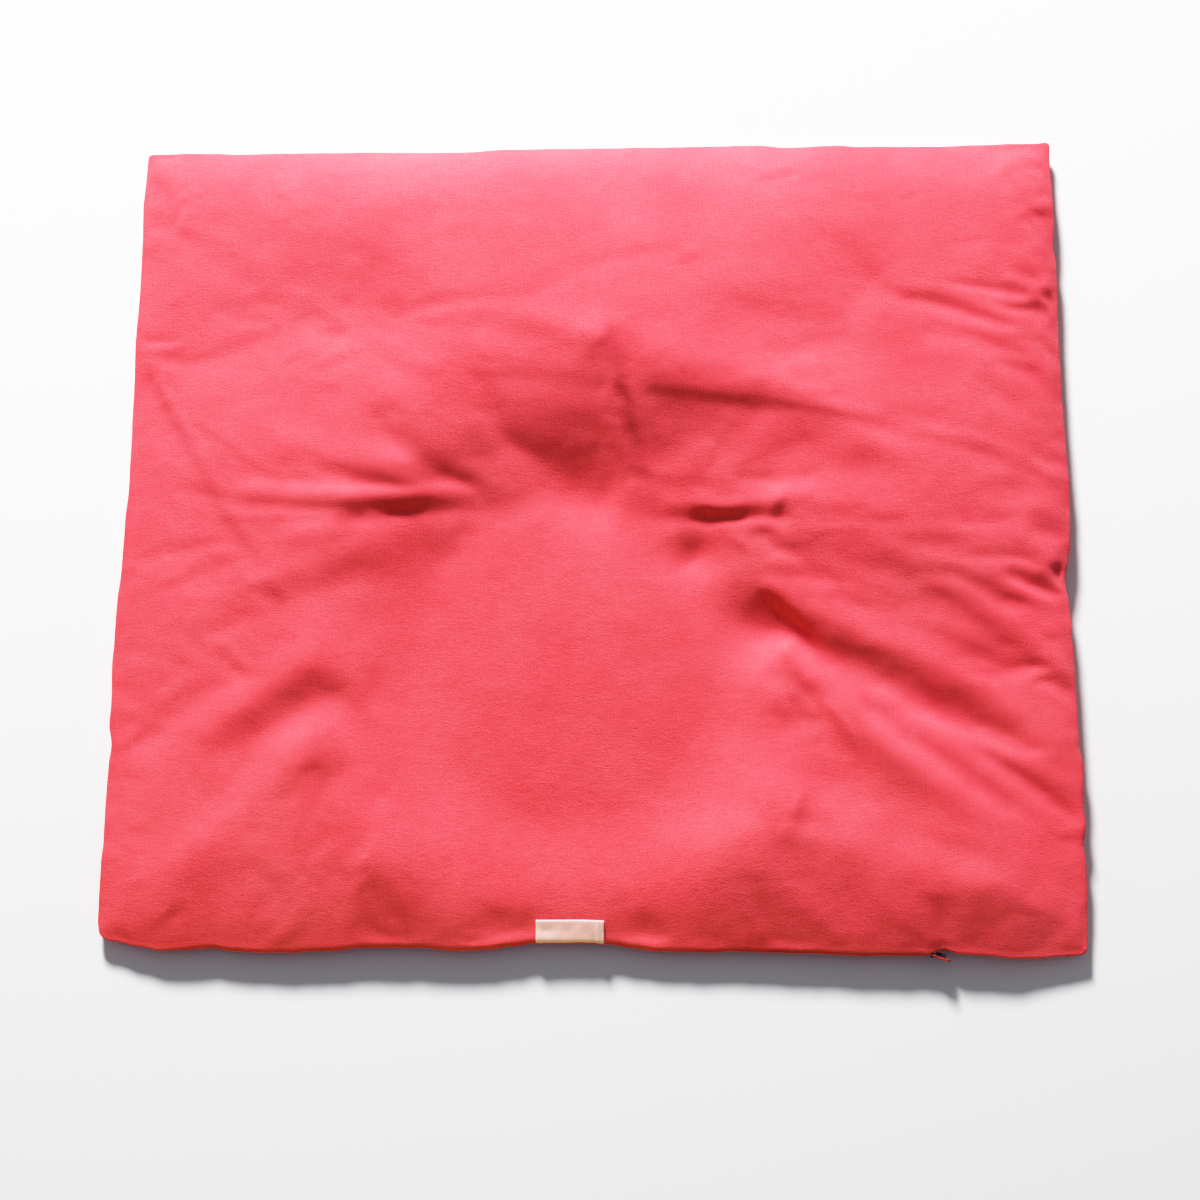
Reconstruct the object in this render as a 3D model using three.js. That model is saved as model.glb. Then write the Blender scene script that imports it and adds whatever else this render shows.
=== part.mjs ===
// Floor mat for sitting: a filled two-panel cotton mat with a plain edge seam,
// a blank label in the front seam and a zip slider near its right end.
// Millimetres, +Z up. The mat lies flat; the front edge is towards -Y.
import * as THREE from 'three';

// ---- driving sizes, mm -------------------------------------------------
const WIDTH = 750;            // nominal, along X
const DEPTH = 650;            // nominal, along Y
const SEAM_HEIGHT = 14;       // edge seam above the floor, mid side
const CORNER_DROP = 4;        // how much lower the seam runs at the corners
const FRONT_DROP = 1.8;       // how much lower it runs along the front
const CORNER_RADIUS = 7;      // rounding of the corners, seen from above
const CROWN = 11.5;           // broad crown of the filling, at the middle
const EDGE_ROLL = 2.4;        // rise of the cloth where it turns at the seam
const EDGE_RUN = 3;           // run of that turn
const UNDER_RUN = 46;         // how far in from the seam the underside lifts
const WAVE_REACH = 90;        // how far in from an edge its unevenness reaches

// the rounded shoulder inside each seam: mm up, mm in, and how full its curve is
const SHOULDER = {
  left: { rise: 7.1, run: 73.2, power: 1.31 },
  right: { rise: 5.1, run: 32.5, power: 2.62 },
  back: { rise: 9.7, run: 64.0, power: 2.61 },
  front: { rise: 12.9, run: 104.5, power: 1.34 },
};

// the pressed seat: a soft basin that runs out longer behind, in a wide shallow one
const HOLLOW = {
  x: -15, y: -139, floor: 86, floorBack: 70, rim: 197, rimBack: 52,
  deep: 20.9, wide: 247, wideBack: 52, shallow: 3.8, shallowFloor: 190,
};

// ---- unevenness of the four sides --------------------------------------
// at: mm along the side (Y for left and right, X for back and front)
// out: mm that the seam stands outside (+) or inside (-) the nominal line
const SIDES = {
  left: [
    { at: -325, out: 0 }, { at: -266, out: 1.7 }, { at: -204, out: 1.6 }, { at: -173, out: -0.4 },
    { at: -110, out: 2.8 }, { at: -45, out: 0.8 }, { at: 37, out: -2.0 }, { at: 87, out: -1.4 },
    { at: 155, out: 0.2 }, { at: 207, out: -0.9 }, { at: 277, out: 0.8 }, { at: 325, out: 0 },
  ],
  right: [
    { at: -325, out: 0 }, { at: -288, out: 3.5 }, { at: -229, out: 6.0 }, { at: -190, out: 5.6 },
    { at: -138, out: 3.1 }, { at: -76, out: 1.1 }, { at: -44, out: -2.2 }, { at: -13, out: 3.0 },
    { at: 51, out: 3.2 }, { at: 117, out: 1.1 }, { at: 217, out: 1.2 }, { at: 303, out: -0.3 }, { at: 325, out: 0 },
  ],
  back: [
    { at: -375, out: 0 }, { at: -299, out: -3.7 }, { at: -194, out: -3.3 }, { at: -110, out: -4.4 },
    { at: -6, out: -2.3 }, { at: 98, out: -1.9 }, { at: 159, out: -3.7 }, { at: 282, out: -4.4 },
    { at: 342, out: -1.8 }, { at: 375, out: 0 },
  ],
  front: [
    { at: -375, out: -2 }, { at: -326, out: 5.6 }, { at: -290, out: 3.7 }, { at: -248, out: 6.2 },
    { at: -209, out: 4.9 }, { at: -171, out: 1.5 }, { at: -94, out: 2.8 }, { at: -37, out: -3.1 },
    { at: 10, out: -3.6 }, { at: 58, out: 1.6 }, { at: 209, out: 2.7 }, { at: 252, out: 2.4 },
    { at: 261, out: -1.5 }, { at: 272, out: -2.5 }, { at: 283, out: 0.3 }, { at: 325, out: 3.5 }, { at: 375, out: 0 },
  ],
};

// ---- main creases of the top -------------------------------------------
// from (x0, y0) to (x1, y1), bow: mm that the middle bends to the left of
// that way, half: half width, rise: mm, negative for a trough
const CREASES = [
  { name: 'right_long_ridge', x0: 81, y0: -18, x1: 339, y1: -151, bow: -3, half: 20, rise: 8.3 },
  { name: 'right_long', x0: 67, y0: 3, x1: 334, y1: -149, bow: -26, half: 23, rise: -7.6 },
  { name: 'right_way_out_ridge', x0: 288, y0: -171, x1: 382, y1: -210, bow: 4, half: 12, rise: 1.9 },
  { name: 'right_way_out', x0: 296, y0: -161, x1: 381, y1: -236, bow: 3, half: 23, rise: -3.6 },
  { name: 'right_low_broad_ridge', x0: 196, y0: -139, x1: 294, y1: -222, bow: -6, half: 17, rise: 3.7 },
  { name: 'right_low_broad', x0: 200, y0: -186, x1: 257, y1: -233, bow: -6, half: 31, rise: -3.5 },
  { name: 'right_third_ridge', x0: 261, y0: -52, x1: 356, y1: -100, bow: 1, half: 17, rise: 2.3 },
  { name: 'right_third', x0: 253, y0: -47, x1: 338, y1: -119, bow: 7, half: 17, rise: -2.0 },
  { name: 'back_upright', x0: 72, y0: 18, x1: 36, y1: 167, bow: -3, half: 21, rise: -2.1 },
  { name: 'back_long_ridge', x0: 24, y0: 148, x1: 245, y1: 55, bow: 10, half: 26, rise: 4.2 },
  { name: 'back_long', x0: 13, y0: 85, x1: 244, y1: 54, bow: -3, half: 29, rise: -1.5 },
  { name: 'back_long_left', x0: -112, y0: 96, x1: 13, y1: 84, bow: 4, half: 28, rise: -1.7 },
  { name: 'back_diag', x0: -92, y0: 73, x1: 44, y1: 16, bow: -6, half: 28, rise: -6.0 },
  { name: 'right_short_ridge', x0: 21, y0: 26, x1: 154, y1: 21, bow: -5, half: 22, rise: 4.2 },
  { name: 'right_short', x0: 58, y0: -17, x1: 142, y1: 24, bow: -5, half: 25, rise: -4.9 },
  { name: 'back_ray_b', x0: 133, y0: 31, x1: 184, y1: 65, bow: -5, half: 18, rise: -2.2 },
  { name: 'left_high_ridge', x0: -168, y0: 99, x1: -36, y1: 17, bow: -6, half: 27, rise: 2.5 },
  { name: 'left_high', x0: -177, y0: 82, x1: -48, y1: 12, bow: -3, half: 18, rise: -1.9 },
  { name: 'left_high_second_ridge', x0: -232, y0: 62, x1: -109, y1: 11, bow: 7, half: 18, rise: 3.4 },
  { name: 'left_high_second', x0: -222, y0: 56, x1: -152, y1: 14, bow: 6, half: 22, rise: -2.9 },
  { name: 'left_level_ridge', x0: -293, y0: 16, x1: -38, y1: 38, bow: -6, half: 25, rise: 2.7 },
  { name: 'left_level', x0: -291, y0: 20, x1: -58, y1: -7, bow: -4, half: 14, rise: -1.5 },
  { name: 'left_broad_ridge', x0: -272, y0: -52, x1: -88, y1: -4, bow: 4, half: 20, rise: 2.2 },
  { name: 'left_broad', x0: -269, y0: -75, x1: -106, y1: -17, bow: 11, half: 20, rise: -2.0 },
  { name: 'left_low_ridge', x0: -296, y0: -179, x1: -174, y1: -94, bow: 12, half: 22, rise: 3.9 },
  { name: 'left_low', x0: -286, y0: -184, x1: -176, y1: -139, bow: 8, half: 25, rise: -5.0 },
  { name: 'left_low_shoulder_ridge', x0: -340, y0: -293, x1: -176, y1: -125, bow: -10, half: 22, rise: 3.5 },
  { name: 'left_cross', x0: -373, y0: 126, x1: -253, y1: -47, bow: -7, half: 15, rise: -1.1 },
  { name: 'left_far_f_ridge', x0: -264, y0: 266, x1: -154, y1: 247, bow: -4, half: 34, rise: 2.4 },
  { name: 'left_far_f', x0: -275, y0: 203, x1: -138, y1: 196, bow: -9, half: 34, rise: -0.9 },
  { name: 'back_right_diag', x0: 171, y0: 244, x1: 231, y1: 172, bow: 7, half: 27, rise: -2.1 },
  { name: 'auto_d_085_ridge', x0: -119, y0: 194, x1: 16, y1: 141, bow: 13, half: 17, rise: 0.8 },
  { name: 'left_edge_way', x0: -253, y0: -109, x1: -376, y1: -173, bow: 0, half: 30, rise: -1.9 },
  { name: 'auto_d_180_ridge', x0: -171, y0: -251, x1: -121, y1: -274, bow: -3, half: 28, rise: 3.5 },
];

// ---- broad swells and dips of the filling --------------------------------
// rx, ry: half widths, rise: mm, negative for a dip
const SWELLS = [
  { name: 'front_right_swell', x: 300, y: -262, rx: 36, ry: 41, rise: 7.0 },
  { name: 'left_mid_swell', x: -212, y: 148, rx: 88, ry: 50, rise: -4.6 },
  { name: 'back_swell', x: 52, y: 184, rx: 87, ry: 53, rise: 8.7 },
  { name: 'low_right_swell', x: 150, y: -210, rx: 43, ry: 30, rise: 3.6 },
  { name: 'swell_02', x: -138, y: 244, rx: 90, ry: 53, rise: 1.7 },
  { name: 'swell_03', x: 19, y: 244, rx: 90, ry: 34, rise: 3.0 },
  { name: 'swell_04', x: 169, y: 232, rx: 78, ry: 42, rise: 3.8 },
  { name: 'swell_05', x: 337, y: 227, rx: 47, ry: 81, rise: 2.9 },
  { name: 'swell_06', x: -293, y: 128, rx: 66, ry: 51, rise: -1.0 },
  { name: 'swell_07', x: -157, y: 125, rx: 64, ry: 29, rise: 3.0 },
  { name: 'swell_08', x: 8, y: 148, rx: 65, ry: 33, rise: 4.8 },
  { name: 'swell_09', x: 123, y: 108, rx: 89, ry: 20, rise: 1.9 },
  { name: 'swell_10', x: 294, y: 92, rx: 47, ry: 49, rise: 3.8 },
  { name: 'swell_11', x: -310, y: -11, rx: 63, ry: 68, rise: -4.7 },
  { name: 'swell_12', x: -260, y: -85, rx: 56, ry: 68, rise: -1.8 },
  { name: 'swell_13', x: 270, y: 8, rx: 73, ry: 61, rise: 5.1 },
  { name: 'swell_14', x: 176, y: -72, rx: 73, ry: 45, rise: -8.8 },
  { name: 'swell_15', x: 283, y: -123, rx: 74, ry: 58, rise: -7.9 },
  { name: 'swell_16', x: -307, y: -137, rx: 79, ry: 90, rise: -6.0 },
  { name: 'swell_17', x: -248, y: -219, rx: 63, ry: 35, rise: -4.6 },
  { name: 'swell_18', x: -326, y: -306, rx: 75, ry: 33, rise: 2.2 },
  { name: 'swell_20', x: 182, y: -179, rx: 44, ry: 50, rise: -9.0 },
  { name: 'swell_21', x: 309, y: -226, rx: 85, ry: 53, rise: -4.9 },
  { name: 'swell_22', x: 119, y: -259, rx: 44, ry: 36, rise: 5.3 },
  { name: 'swell_23', x: 249, y: -275, rx: 43, ry: 40, rise: 3.8 },
  { name: 'swell_24', x: 333, y: -294, rx: 50, ry: 28, rise: 3.3 },
  { name: 'swell_25', x: 70, y: 114, rx: 59, ry: 30, rise: 4.8 },
  { name: 'swell_27', x: -71, y: 53, rx: 50, ry: 26, rise: 2.9 },
];

// ---- fineness of the mesh ----------------------------------------------
const EDGE_STEPS = [0, 3, 8, 15, 24, 36, 52, 70];   // mm in from an edge
const INNER_PITCH = 19;                             // mm between lines inside
const ZIP_COLUMNS = [252, 261, 272, 283];           // extra lines at the zip's notch
const UNDER_RINGS = [7, 17, 29, UNDER_RUN];         // mm in from the seam

// ---- small functions ---------------------------------------------------
const clamp = (v, a, b) => Math.min(b, Math.max(a, v));
const smooth = (t) => { const s = clamp(t, 0, 1); return s * s * (3 - 2 * s); };

// unevenness of one side at a place along it, eased between its rows
function sideOut(rows, at) {
  if (at <= rows[0].at) return rows[0].out;
  for (let i = 1; i < rows.length; i++) {
    if (at <= rows[i].at) {
      const t = (at - rows[i - 1].at) / (rows[i].at - rows[i - 1].at);
      return rows[i - 1].out + (rows[i].out - rows[i - 1].out) * smooth(t);
    }
  }
  return rows[rows.length - 1].out;
}

// nominal place on the flat rectangle -> place on the uneven, sewn mat
function place(x, y) {
  const hx = WIDTH / 2, hy = DEPTH / 2;
  const near = (gap) => smooth(1 - gap / WAVE_REACH);
  let px = x - sideOut(SIDES.left, y) * near(hx + x) + sideOut(SIDES.right, y) * near(hx - x);
  let py = y + sideOut(SIDES.back, x) * near(hy - y) - sideOut(SIDES.front, x) * near(hy + y);
  // round the corners: pull points back onto the corner's arc
  const cx = hx - CORNER_RADIUS, cy = hy - CORNER_RADIUS;
  const qx = Math.abs(x) - cx, qy = Math.abs(y) - cy;
  if (qx > 0 && qy > 0) {
    const far = Math.hypot(qx, qy);
    const square = CORNER_RADIUS / Math.max(qx, qy);       // scale to the square's edge
    const k = CORNER_RADIUS / (far * square);              // and back to the circle's
    px += Math.sign(x) * qx * (k - 1);
    py += Math.sign(y) * qy * (k - 1);
  }
  return [px, py];
}

// height of the edge seam, following the nearest edge round the mat
function seamHeight(x, y) {
  const cornered = smooth(1 - (WIDTH / 2 - Math.abs(x)) / 70) * smooth(1 - (DEPTH / 2 - Math.abs(y)) / 70);
  return SEAM_HEIGHT - FRONT_DROP * smooth((-y - 130) / 190) - CORNER_DROP * cornered
    + 0.9 * Math.sin(x / 61 + 0.7) * Math.sin(y / 73 + 2.1);
}

// how full the mat is at a distance in from an edge, 0 at the seam to 1
const shoulder = (gap, side) => 1 - Math.pow(1 - clamp(gap / side.run, 0, 1), side.power);

// depth of the pressed seat
function hollow(x, y) {
  const dx = x - HOLLOW.x, dy = y - HOLLOW.y, r = Math.hypot(dx, dy);
  const behind = Math.pow(0.5 + (0.5 * dy) / Math.max(r, 1), 2);
  const rim = HOLLOW.rim + HOLLOW.rimBack * behind, floor = HOLLOW.floor + HOLLOW.floorBack * behind;
  const wide = HOLLOW.wide + HOLLOW.wideBack * behind * behind;
  return HOLLOW.deep * smooth((rim - r) / (rim - floor))
    + HOLLOW.shallow * smooth((wide - r) / (wide - HOLLOW.shallowFloor));
}

// one crease at a place: soft across, fading out at both ends
function crease(c, x, y) {
  const lx = c.x1 - c.x0, ly = c.y1 - c.y0, len = Math.hypot(lx, ly);
  const ux = lx / len, uy = ly / len;
  const s = ((x - c.x0) * ux + (y - c.y0) * uy) / len;
  if (s < -0.15 || s > 1.15) return 0;
  const across = -(x - c.x0) * uy + (y - c.y0) * ux - c.bow * 4 * s * (1 - s);
  const fade = smooth((s + 0.15) / 0.3) * smooth((1.15 - s) / 0.3);
  return c.rise * fade * Math.exp(-Math.pow(across / c.half, 2));
}

// one broad swell at a place
const swell = (w, x, y) => w.rise * Math.exp(-Math.pow((x - w.x) / w.rx, 2) - Math.pow((y - w.y) / w.ry, 2));

// height of the top panel above the floor
function topHeight(x, y) {
  const gx = WIDTH / 2 - Math.abs(x), gy = DEPTH / 2 - Math.abs(y);
  const side = shoulder(gx, x < 0 ? SHOULDER.left : SHOULDER.right);
  const end = shoulder(gy, y > 0 ? SHOULDER.back : SHOULDER.front);
  const across = 1 - Math.pow(x / (WIDTH / 2), 2), alongY = 1 - Math.pow(y / (DEPTH / 2), 2);
  const ends = SHOULDER.left.rise + (SHOULDER.right.rise - SHOULDER.left.rise) * smooth(x / WIDTH + 0.5);
  const backs = SHOULDER.back.rise + (SHOULDER.front.rise - SHOULDER.back.rise) * smooth(0.5 - y / DEPTH);
  let h = (ends - hollow(x, y)) * side * end + backs * across * end + CROWN * across * alongY;
  const free = smooth(gx / 26) * smooth(gy / 26);
  for (const c of CREASES) h += crease(c, x, y) * free;
  for (const w of SWELLS) h += swell(w, x, y) * free;
  const turn = 1 - Math.pow(1 - clamp(Math.min(gx, gy) / EDGE_RUN, 0, 1), 2);
  return seamHeight(x, y) + EDGE_ROLL * turn + h;
}

// height of the bottom panel: flat on the floor, lifting to the seam
function underHeight(x, y, inset) {
  return seamHeight(x, y) * Math.pow(1 - clamp(inset / UNDER_RUN, 0, 1), 2);
}

// grid lines across a width: close together near both edges, and at extra places
function lines(width, extra) {
  const half = width / 2, last = EDGE_STEPS[EDGE_STEPS.length - 1];
  const count = Math.round((width - 2 * last) / INNER_PITCH);
  const out = EDGE_STEPS.map((g) => -half + g);
  for (let i = 1; i < count; i++) out.push(-half + last + ((width - 2 * last) * i) / count);
  for (let i = EDGE_STEPS.length - 1; i >= 0; i--) out.push(half - EDGE_STEPS[i]);
  const kept = out.filter((v) => extra.every((e) => Math.abs(v - e) > 6));
  return kept.concat(extra).sort((a, b) => a - b);
}

// closed mesh from a list of points and triangles
function solid(points, faces) {
  const g = new THREE.BufferGeometry();
  g.setAttribute('position', new THREE.Float32BufferAttribute(points.flat(), 3));
  g.setIndex(faces.flat());
  g.computeVertexNormals();
  return g;
}

// ---- the filled mat ----------------------------------------------------
function buildMat() {
  const xs = lines(WIDTH, ZIP_COLUMNS), ys = lines(DEPTH, []), nx = xs.length, ny = ys.length;
  const points = [], faces = [];
  const id = (i, j) => j * nx + i;
  for (let j = 0; j < ny; j++) {
    for (let i = 0; i < nx; i++) {
      const [px, py] = place(xs[i], ys[j]);
      const edge = i === 0 || j === 0 || i === nx - 1 || j === ny - 1;
      points.push([px, py, edge ? seamHeight(xs[i], ys[j]) : topHeight(xs[i], ys[j])]);
    }
  }
  for (let j = 0; j < ny - 1; j++) {
    for (let i = 0; i < nx - 1; i++) {
      const a = id(i, j), b = id(i + 1, j), c = id(i + 1, j + 1), d = id(i, j + 1);
      // split each cell along the diagonal that runs out from the middle
      if ((xs[i] + xs[i + 1]) * (ys[j] + ys[j + 1]) > 0) faces.push([a, b, c], [a, c, d]);
      else faces.push([a, b, d], [b, c, d]);
    }
  }
  // the seam's ring of points, counter-clockwise seen from above
  const ring = [];
  for (let i = 0; i < nx - 1; i++) ring.push([i, 0]);
  for (let j = 0; j < ny - 1; j++) ring.push([nx - 1, j]);
  for (let i = nx - 1; i > 0; i--) ring.push([i, ny - 1]);
  for (let j = ny - 1; j > 0; j--) ring.push([0, j]);
  let outer = ring.map(([i, j]) => id(i, j));
  for (const inset of UNDER_RINGS) {
    const kx = 1 - inset / (WIDTH / 2), ky = 1 - inset / (DEPTH / 2);
    const inner = ring.map(([i, j]) => {
      const x = xs[i] * kx, y = ys[j] * ky, [px, py] = place(x, y);
      points.push([px, py, underHeight(xs[i], ys[j], inset)]);
      return points.length - 1;
    });
    for (let k = 0; k < outer.length; k++) {
      const m = (k + 1) % outer.length;
      faces.push([outer[k], inner[k], outer[m]], [outer[m], inner[k], inner[m]]);
    }
    outer = inner;
  }
  // the flat that it rests on
  const flat = outer.map((v) => new THREE.Vector2(points[v][0], points[v][1]));
  for (const [a, b, c] of THREE.ShapeUtils.triangulateShape(flat, [])) faces.push([outer[a], outer[c], outer[b]]);
  return solid(points, faces);
}

// ---- the label ---------------------------------------------------------
// A short strip of cotton lying on the front slope, its lower edge at the seam.
const LABEL = { x0: -36, x1: 16, tall: 17, thick: 1.0, clear: 0.5, columns: 8, rows: 5 };

function buildLabel() {
  const { x0, x1, tall, thick, clear, columns, rows } = LABEL;
  const points = [], faces = [];
  const at = (i, j, side) => side * (columns + 1) * (rows + 1) + j * (columns + 1) + i;
  for (let side = 0; side < 2; side++) {
    for (let j = 0; j <= rows; j++) {
      for (let i = 0; i <= columns; i++) {
        const x = x0 + ((x1 - x0) * i) / columns;
        const y = -DEPTH / 2 + 2.2 + (tall * j) / rows;
        // outward normal of the slope, from its own rise over a few mm
        const e = 3, slope = (topHeight(x, y + e) - topHeight(x, y - Math.min(e, 2))) / (e + Math.min(e, 2));
        const n = 1 / Math.hypot(1, slope), lift = clear + side * thick;
        const [px, py] = place(x, y);
        points.push([px, py - lift * slope * n, topHeight(x, y) + lift * n]);
      }
    }
  }
  for (let j = 0; j < rows; j++) {
    for (let i = 0; i < columns; i++) {
      for (const side of [0, 1]) {
        const a = at(i, j, side), b = at(i + 1, j, side), c = at(i + 1, j + 1, side), d = at(i, j + 1, side);
        if (side) faces.push([a, b, c], [a, c, d]); else faces.push([a, c, b], [a, d, c]);
      }
    }
  }
  const rim = [];
  for (let i = 0; i < columns; i++) rim.push([i, 0]);
  for (let j = 0; j < rows; j++) rim.push([columns, j]);
  for (let i = columns; i > 0; i--) rim.push([i, rows]);
  for (let j = rows; j > 0; j--) rim.push([0, j]);
  rim.forEach(([i, j], k) => {
    const [m, n] = rim[(k + 1) % rim.length];
    const a = at(i, j, 0), b = at(m, n, 0), c = at(m, n, 1), d = at(i, j, 1);
    faces.push([a, b, c], [a, c, d]);
  });
  return solid(points, faces);
}

// ---- the zip's slider and pull ------------------------------------------
// The slider sits in the front seam; the pull lies along the seam, on edge.
const SLIDER = { x: 265.6, y: -323.8, length: 8, tall: 6.2, deep: 2.2 };
const PULL = { ahead: -4.1, gap: 0.35, length: 16.5, tall: 5.6, neck: 3.2, thick: 1.7, hole: 2.6 };
const ZIP_TURN = -18;         // degrees that both stand out from the seam's line

// outline of the slider seen from the front: a shield, wider at its nose
function sliderOutline() {
  const { length: l, tall: t } = SLIDER, s = new THREE.Shape();
  s.moveTo(0, -t * 0.3);
  s.lineTo(l * 0.68, -t / 2);
  s.lineTo(l, -t * 0.34);
  s.lineTo(l, t * 0.34);
  s.lineTo(l * 0.68, t / 2);
  s.lineTo(0, t * 0.3);
  s.closePath();
  return s;
}

// outline of the pull seen from the front: narrow neck, round end, one hole
function pullOutline() {
  const { length: l, tall: t, neck, hole } = PULL, s = new THREE.Shape();
  s.moveTo(0, -neck / 2);
  s.lineTo(l * 0.35, -neck / 2);
  s.lineTo(l * 0.6, -t / 2);
  s.lineTo(l - t / 2, -t / 2);
  s.absarc(l - t / 2, 0, t / 2, -Math.PI / 2, Math.PI / 2, false);
  s.lineTo(l * 0.6, t / 2);
  s.lineTo(l * 0.35, neck / 2);
  s.lineTo(0, neck / 2);
  s.closePath();
  const h = new THREE.Path();
  h.absarc(l - t / 2, 0, hole / 2, 0, Math.PI * 2, true);
  s.holes.push(h);
  return s;
}

// ---- the group ----------------------------------------------------------
const COTTON = new THREE.MeshStandardMaterial({ color: 0xf2596b, roughness: 0.92, metalness: 0 });
const LABEL_COTTON = new THREE.MeshStandardMaterial({ color: 0xe3c4ab, roughness: 0.9, metalness: 0 });
const DARK_METAL = new THREE.MeshStandardMaterial({ color: 0x2a1c1a, roughness: 0.45, metalness: 0.7 });
const RED_COAT = new THREE.MeshStandardMaterial({ color: 0xc23a3c, roughness: 0.4, metalness: 0.1 });

const part = new THREE.Group();
const body = new THREE.Group();
part.add(body);

function add(name, geometry, material) {
  const mesh = new THREE.Mesh(geometry, material);
  mesh.name = name;
  body.add(mesh);
  return mesh;
}

add('mat_cover', buildMat(), COTTON);
add('label', buildLabel(), LABEL_COTTON);

const zip = new THREE.Group();
body.add(zip);
zip.rotation.z = THREE.MathUtils.degToRad(ZIP_TURN);
zip.position.set(SLIDER.x, SLIDER.y, seamHeight(SLIDER.x, -DEPTH / 2));

const slider = add('zip_slider', new THREE.ExtrudeGeometry(sliderOutline(), { depth: SLIDER.deep, bevelEnabled: false }), DARK_METAL);
const pull = add('zip_pull', new THREE.ExtrudeGeometry(pullOutline(), { depth: PULL.thick, bevelEnabled: false, curveSegments: 10 }), RED_COAT);
for (const piece of [slider, pull]) {
  zip.add(piece);
  piece.rotation.x = Math.PI / 2;       // its outline faces the front
}
pull.position.set(PULL.ahead, -(SLIDER.deep + PULL.gap), 0);

// origin: the middle of the underside of the whole part's box
part.updateMatrixWorld(true);
const box = new THREE.Box3().setFromObject(part, true);
body.position.set(-(box.min.x + box.max.x) / 2, -(box.min.y + box.max.y) / 2, -box.min.z);
part.updateMatrixWorld(true);

export default part;
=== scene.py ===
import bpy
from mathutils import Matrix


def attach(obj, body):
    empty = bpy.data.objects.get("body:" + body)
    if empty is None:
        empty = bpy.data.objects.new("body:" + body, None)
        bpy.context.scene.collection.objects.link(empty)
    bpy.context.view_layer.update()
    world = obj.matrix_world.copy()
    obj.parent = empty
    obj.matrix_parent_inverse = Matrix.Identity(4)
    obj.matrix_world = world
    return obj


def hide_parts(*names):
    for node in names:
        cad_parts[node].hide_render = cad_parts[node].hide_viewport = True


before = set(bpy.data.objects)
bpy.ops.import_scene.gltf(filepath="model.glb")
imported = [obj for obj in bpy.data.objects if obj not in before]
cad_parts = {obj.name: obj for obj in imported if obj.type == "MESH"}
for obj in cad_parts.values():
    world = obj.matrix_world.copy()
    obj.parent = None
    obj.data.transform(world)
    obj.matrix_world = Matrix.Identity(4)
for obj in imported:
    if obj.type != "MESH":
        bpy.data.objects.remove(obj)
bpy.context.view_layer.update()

import bmesh
import bpy
import math
from collections import namedtuple
import numpy as np
from mathutils import Matrix, Vector, noise

# A filled cotton floor mat lying flat. Sizes are in mm in the mat's own
# nominal frame; SHIFT and MM take them to the row frame in metres.
MM = 0.001
SHIFT_X, SHIFT_Y = -1.581, 3.394

WIDTH, DEPTH = 750.0, 650.0
SEAM_HEIGHT, CORNER_DROP, CORNER_RADIUS = 14.0, 4.0, 4.5
# the panel's rise from each seam: mm up, mm in, power
LEFT_SIDE, RIGHT_SIDE = (7.1, 73.2, 1.31), (5.1, 32.5, 2.62)
BACK_SIDE, FRONT_SIDE = (9.7, 64.0, 2.61), (12.9, 104.5, 1.34)
CROWN, FRONT_DROP = 11.5, 1.8                # broad crown, and how much lower the front seam lies
UNDER_RUN, WAVE_REACH = 46.0, 90.0
ROLL = 1.6                                   # radius of the rolled edge on either side of the seam
ROLL_RISE = ROLL * (math.sin(math.radians(45)) + math.sin(math.radians(50)))
HOLLOW = dict(x=-15.0, y=-139.0, floor=86.0, floor_back=70.0, rim=197.0, rim_back=52.0, deep=20.9, wide=247.0, wide_back=52.0, shallow=3.8)
SEAT = dict(x=-24.0, y=-136.0, rim=182.0, ease=70.0)

# ------------------------------------------------------------------ tables
# unevenness of the sides: place along the side, mm outside the nominal line
LEFT = [(-325, 2.2), (-312, 3.7), (-297, 3.6), (-266, 3.0), (-251, 1.9), (-204, 1.6), (-189, 1.0), (-173, -.4), (-157, 2.2),
        (-142, 1.6), (-110, 2.8), (-94, 2.2), (-61, 1.8), (-29, -.3), (4, -.7), (37, -2.0), (54, -1.8), (80, -1.7), (88, -1.2),
        (121, -1.0), (155, .2), (207, -.9), (242, -.5), (277, .8), (313, .4), (325, .2)]
RIGHT = [(-325, 4.2), (-318, 4.5), (-303, 4.9), (-288, 5.6), (-259, 5.3), (-244, 3.9), (-229, 6.0), (-214, 5.1), (-199, 5.8),
         (-184, 5.7), (-168, 3.3), (-138, 3.1), (-107, 2.1), (-76, 1.1), (-60, .2), (-48, -1.6), (-43, -2.8), (-37, -1.9), (-27, .2), (-13, 2.9),
         (3, 3.5), (35, 4.1), (51, 3.2), (84, 2.2), (117, 1.1), (167, .8), (217, 1.2), (234, -.5), (251, .9), (303, .2), (325, .9)]
BACK = [(-375, -.6), (-363, -1.0), (-342, -1.3), (-321, -2.5), (-299, -3.7), (-257, -3.3), (-194, -3.3), (-131, -4.1),
        (-110, -4.4), (-68, -2.3), (-6, -2.3), (56, -2.3), (98, -1.9), (139, -1.6), (159, -3.7), (200, -2.5), (221, -3.6),
        (282, -4.4), (322, -3.3), (342, -1.8), (363, -1.3), (375, .4)]
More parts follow.
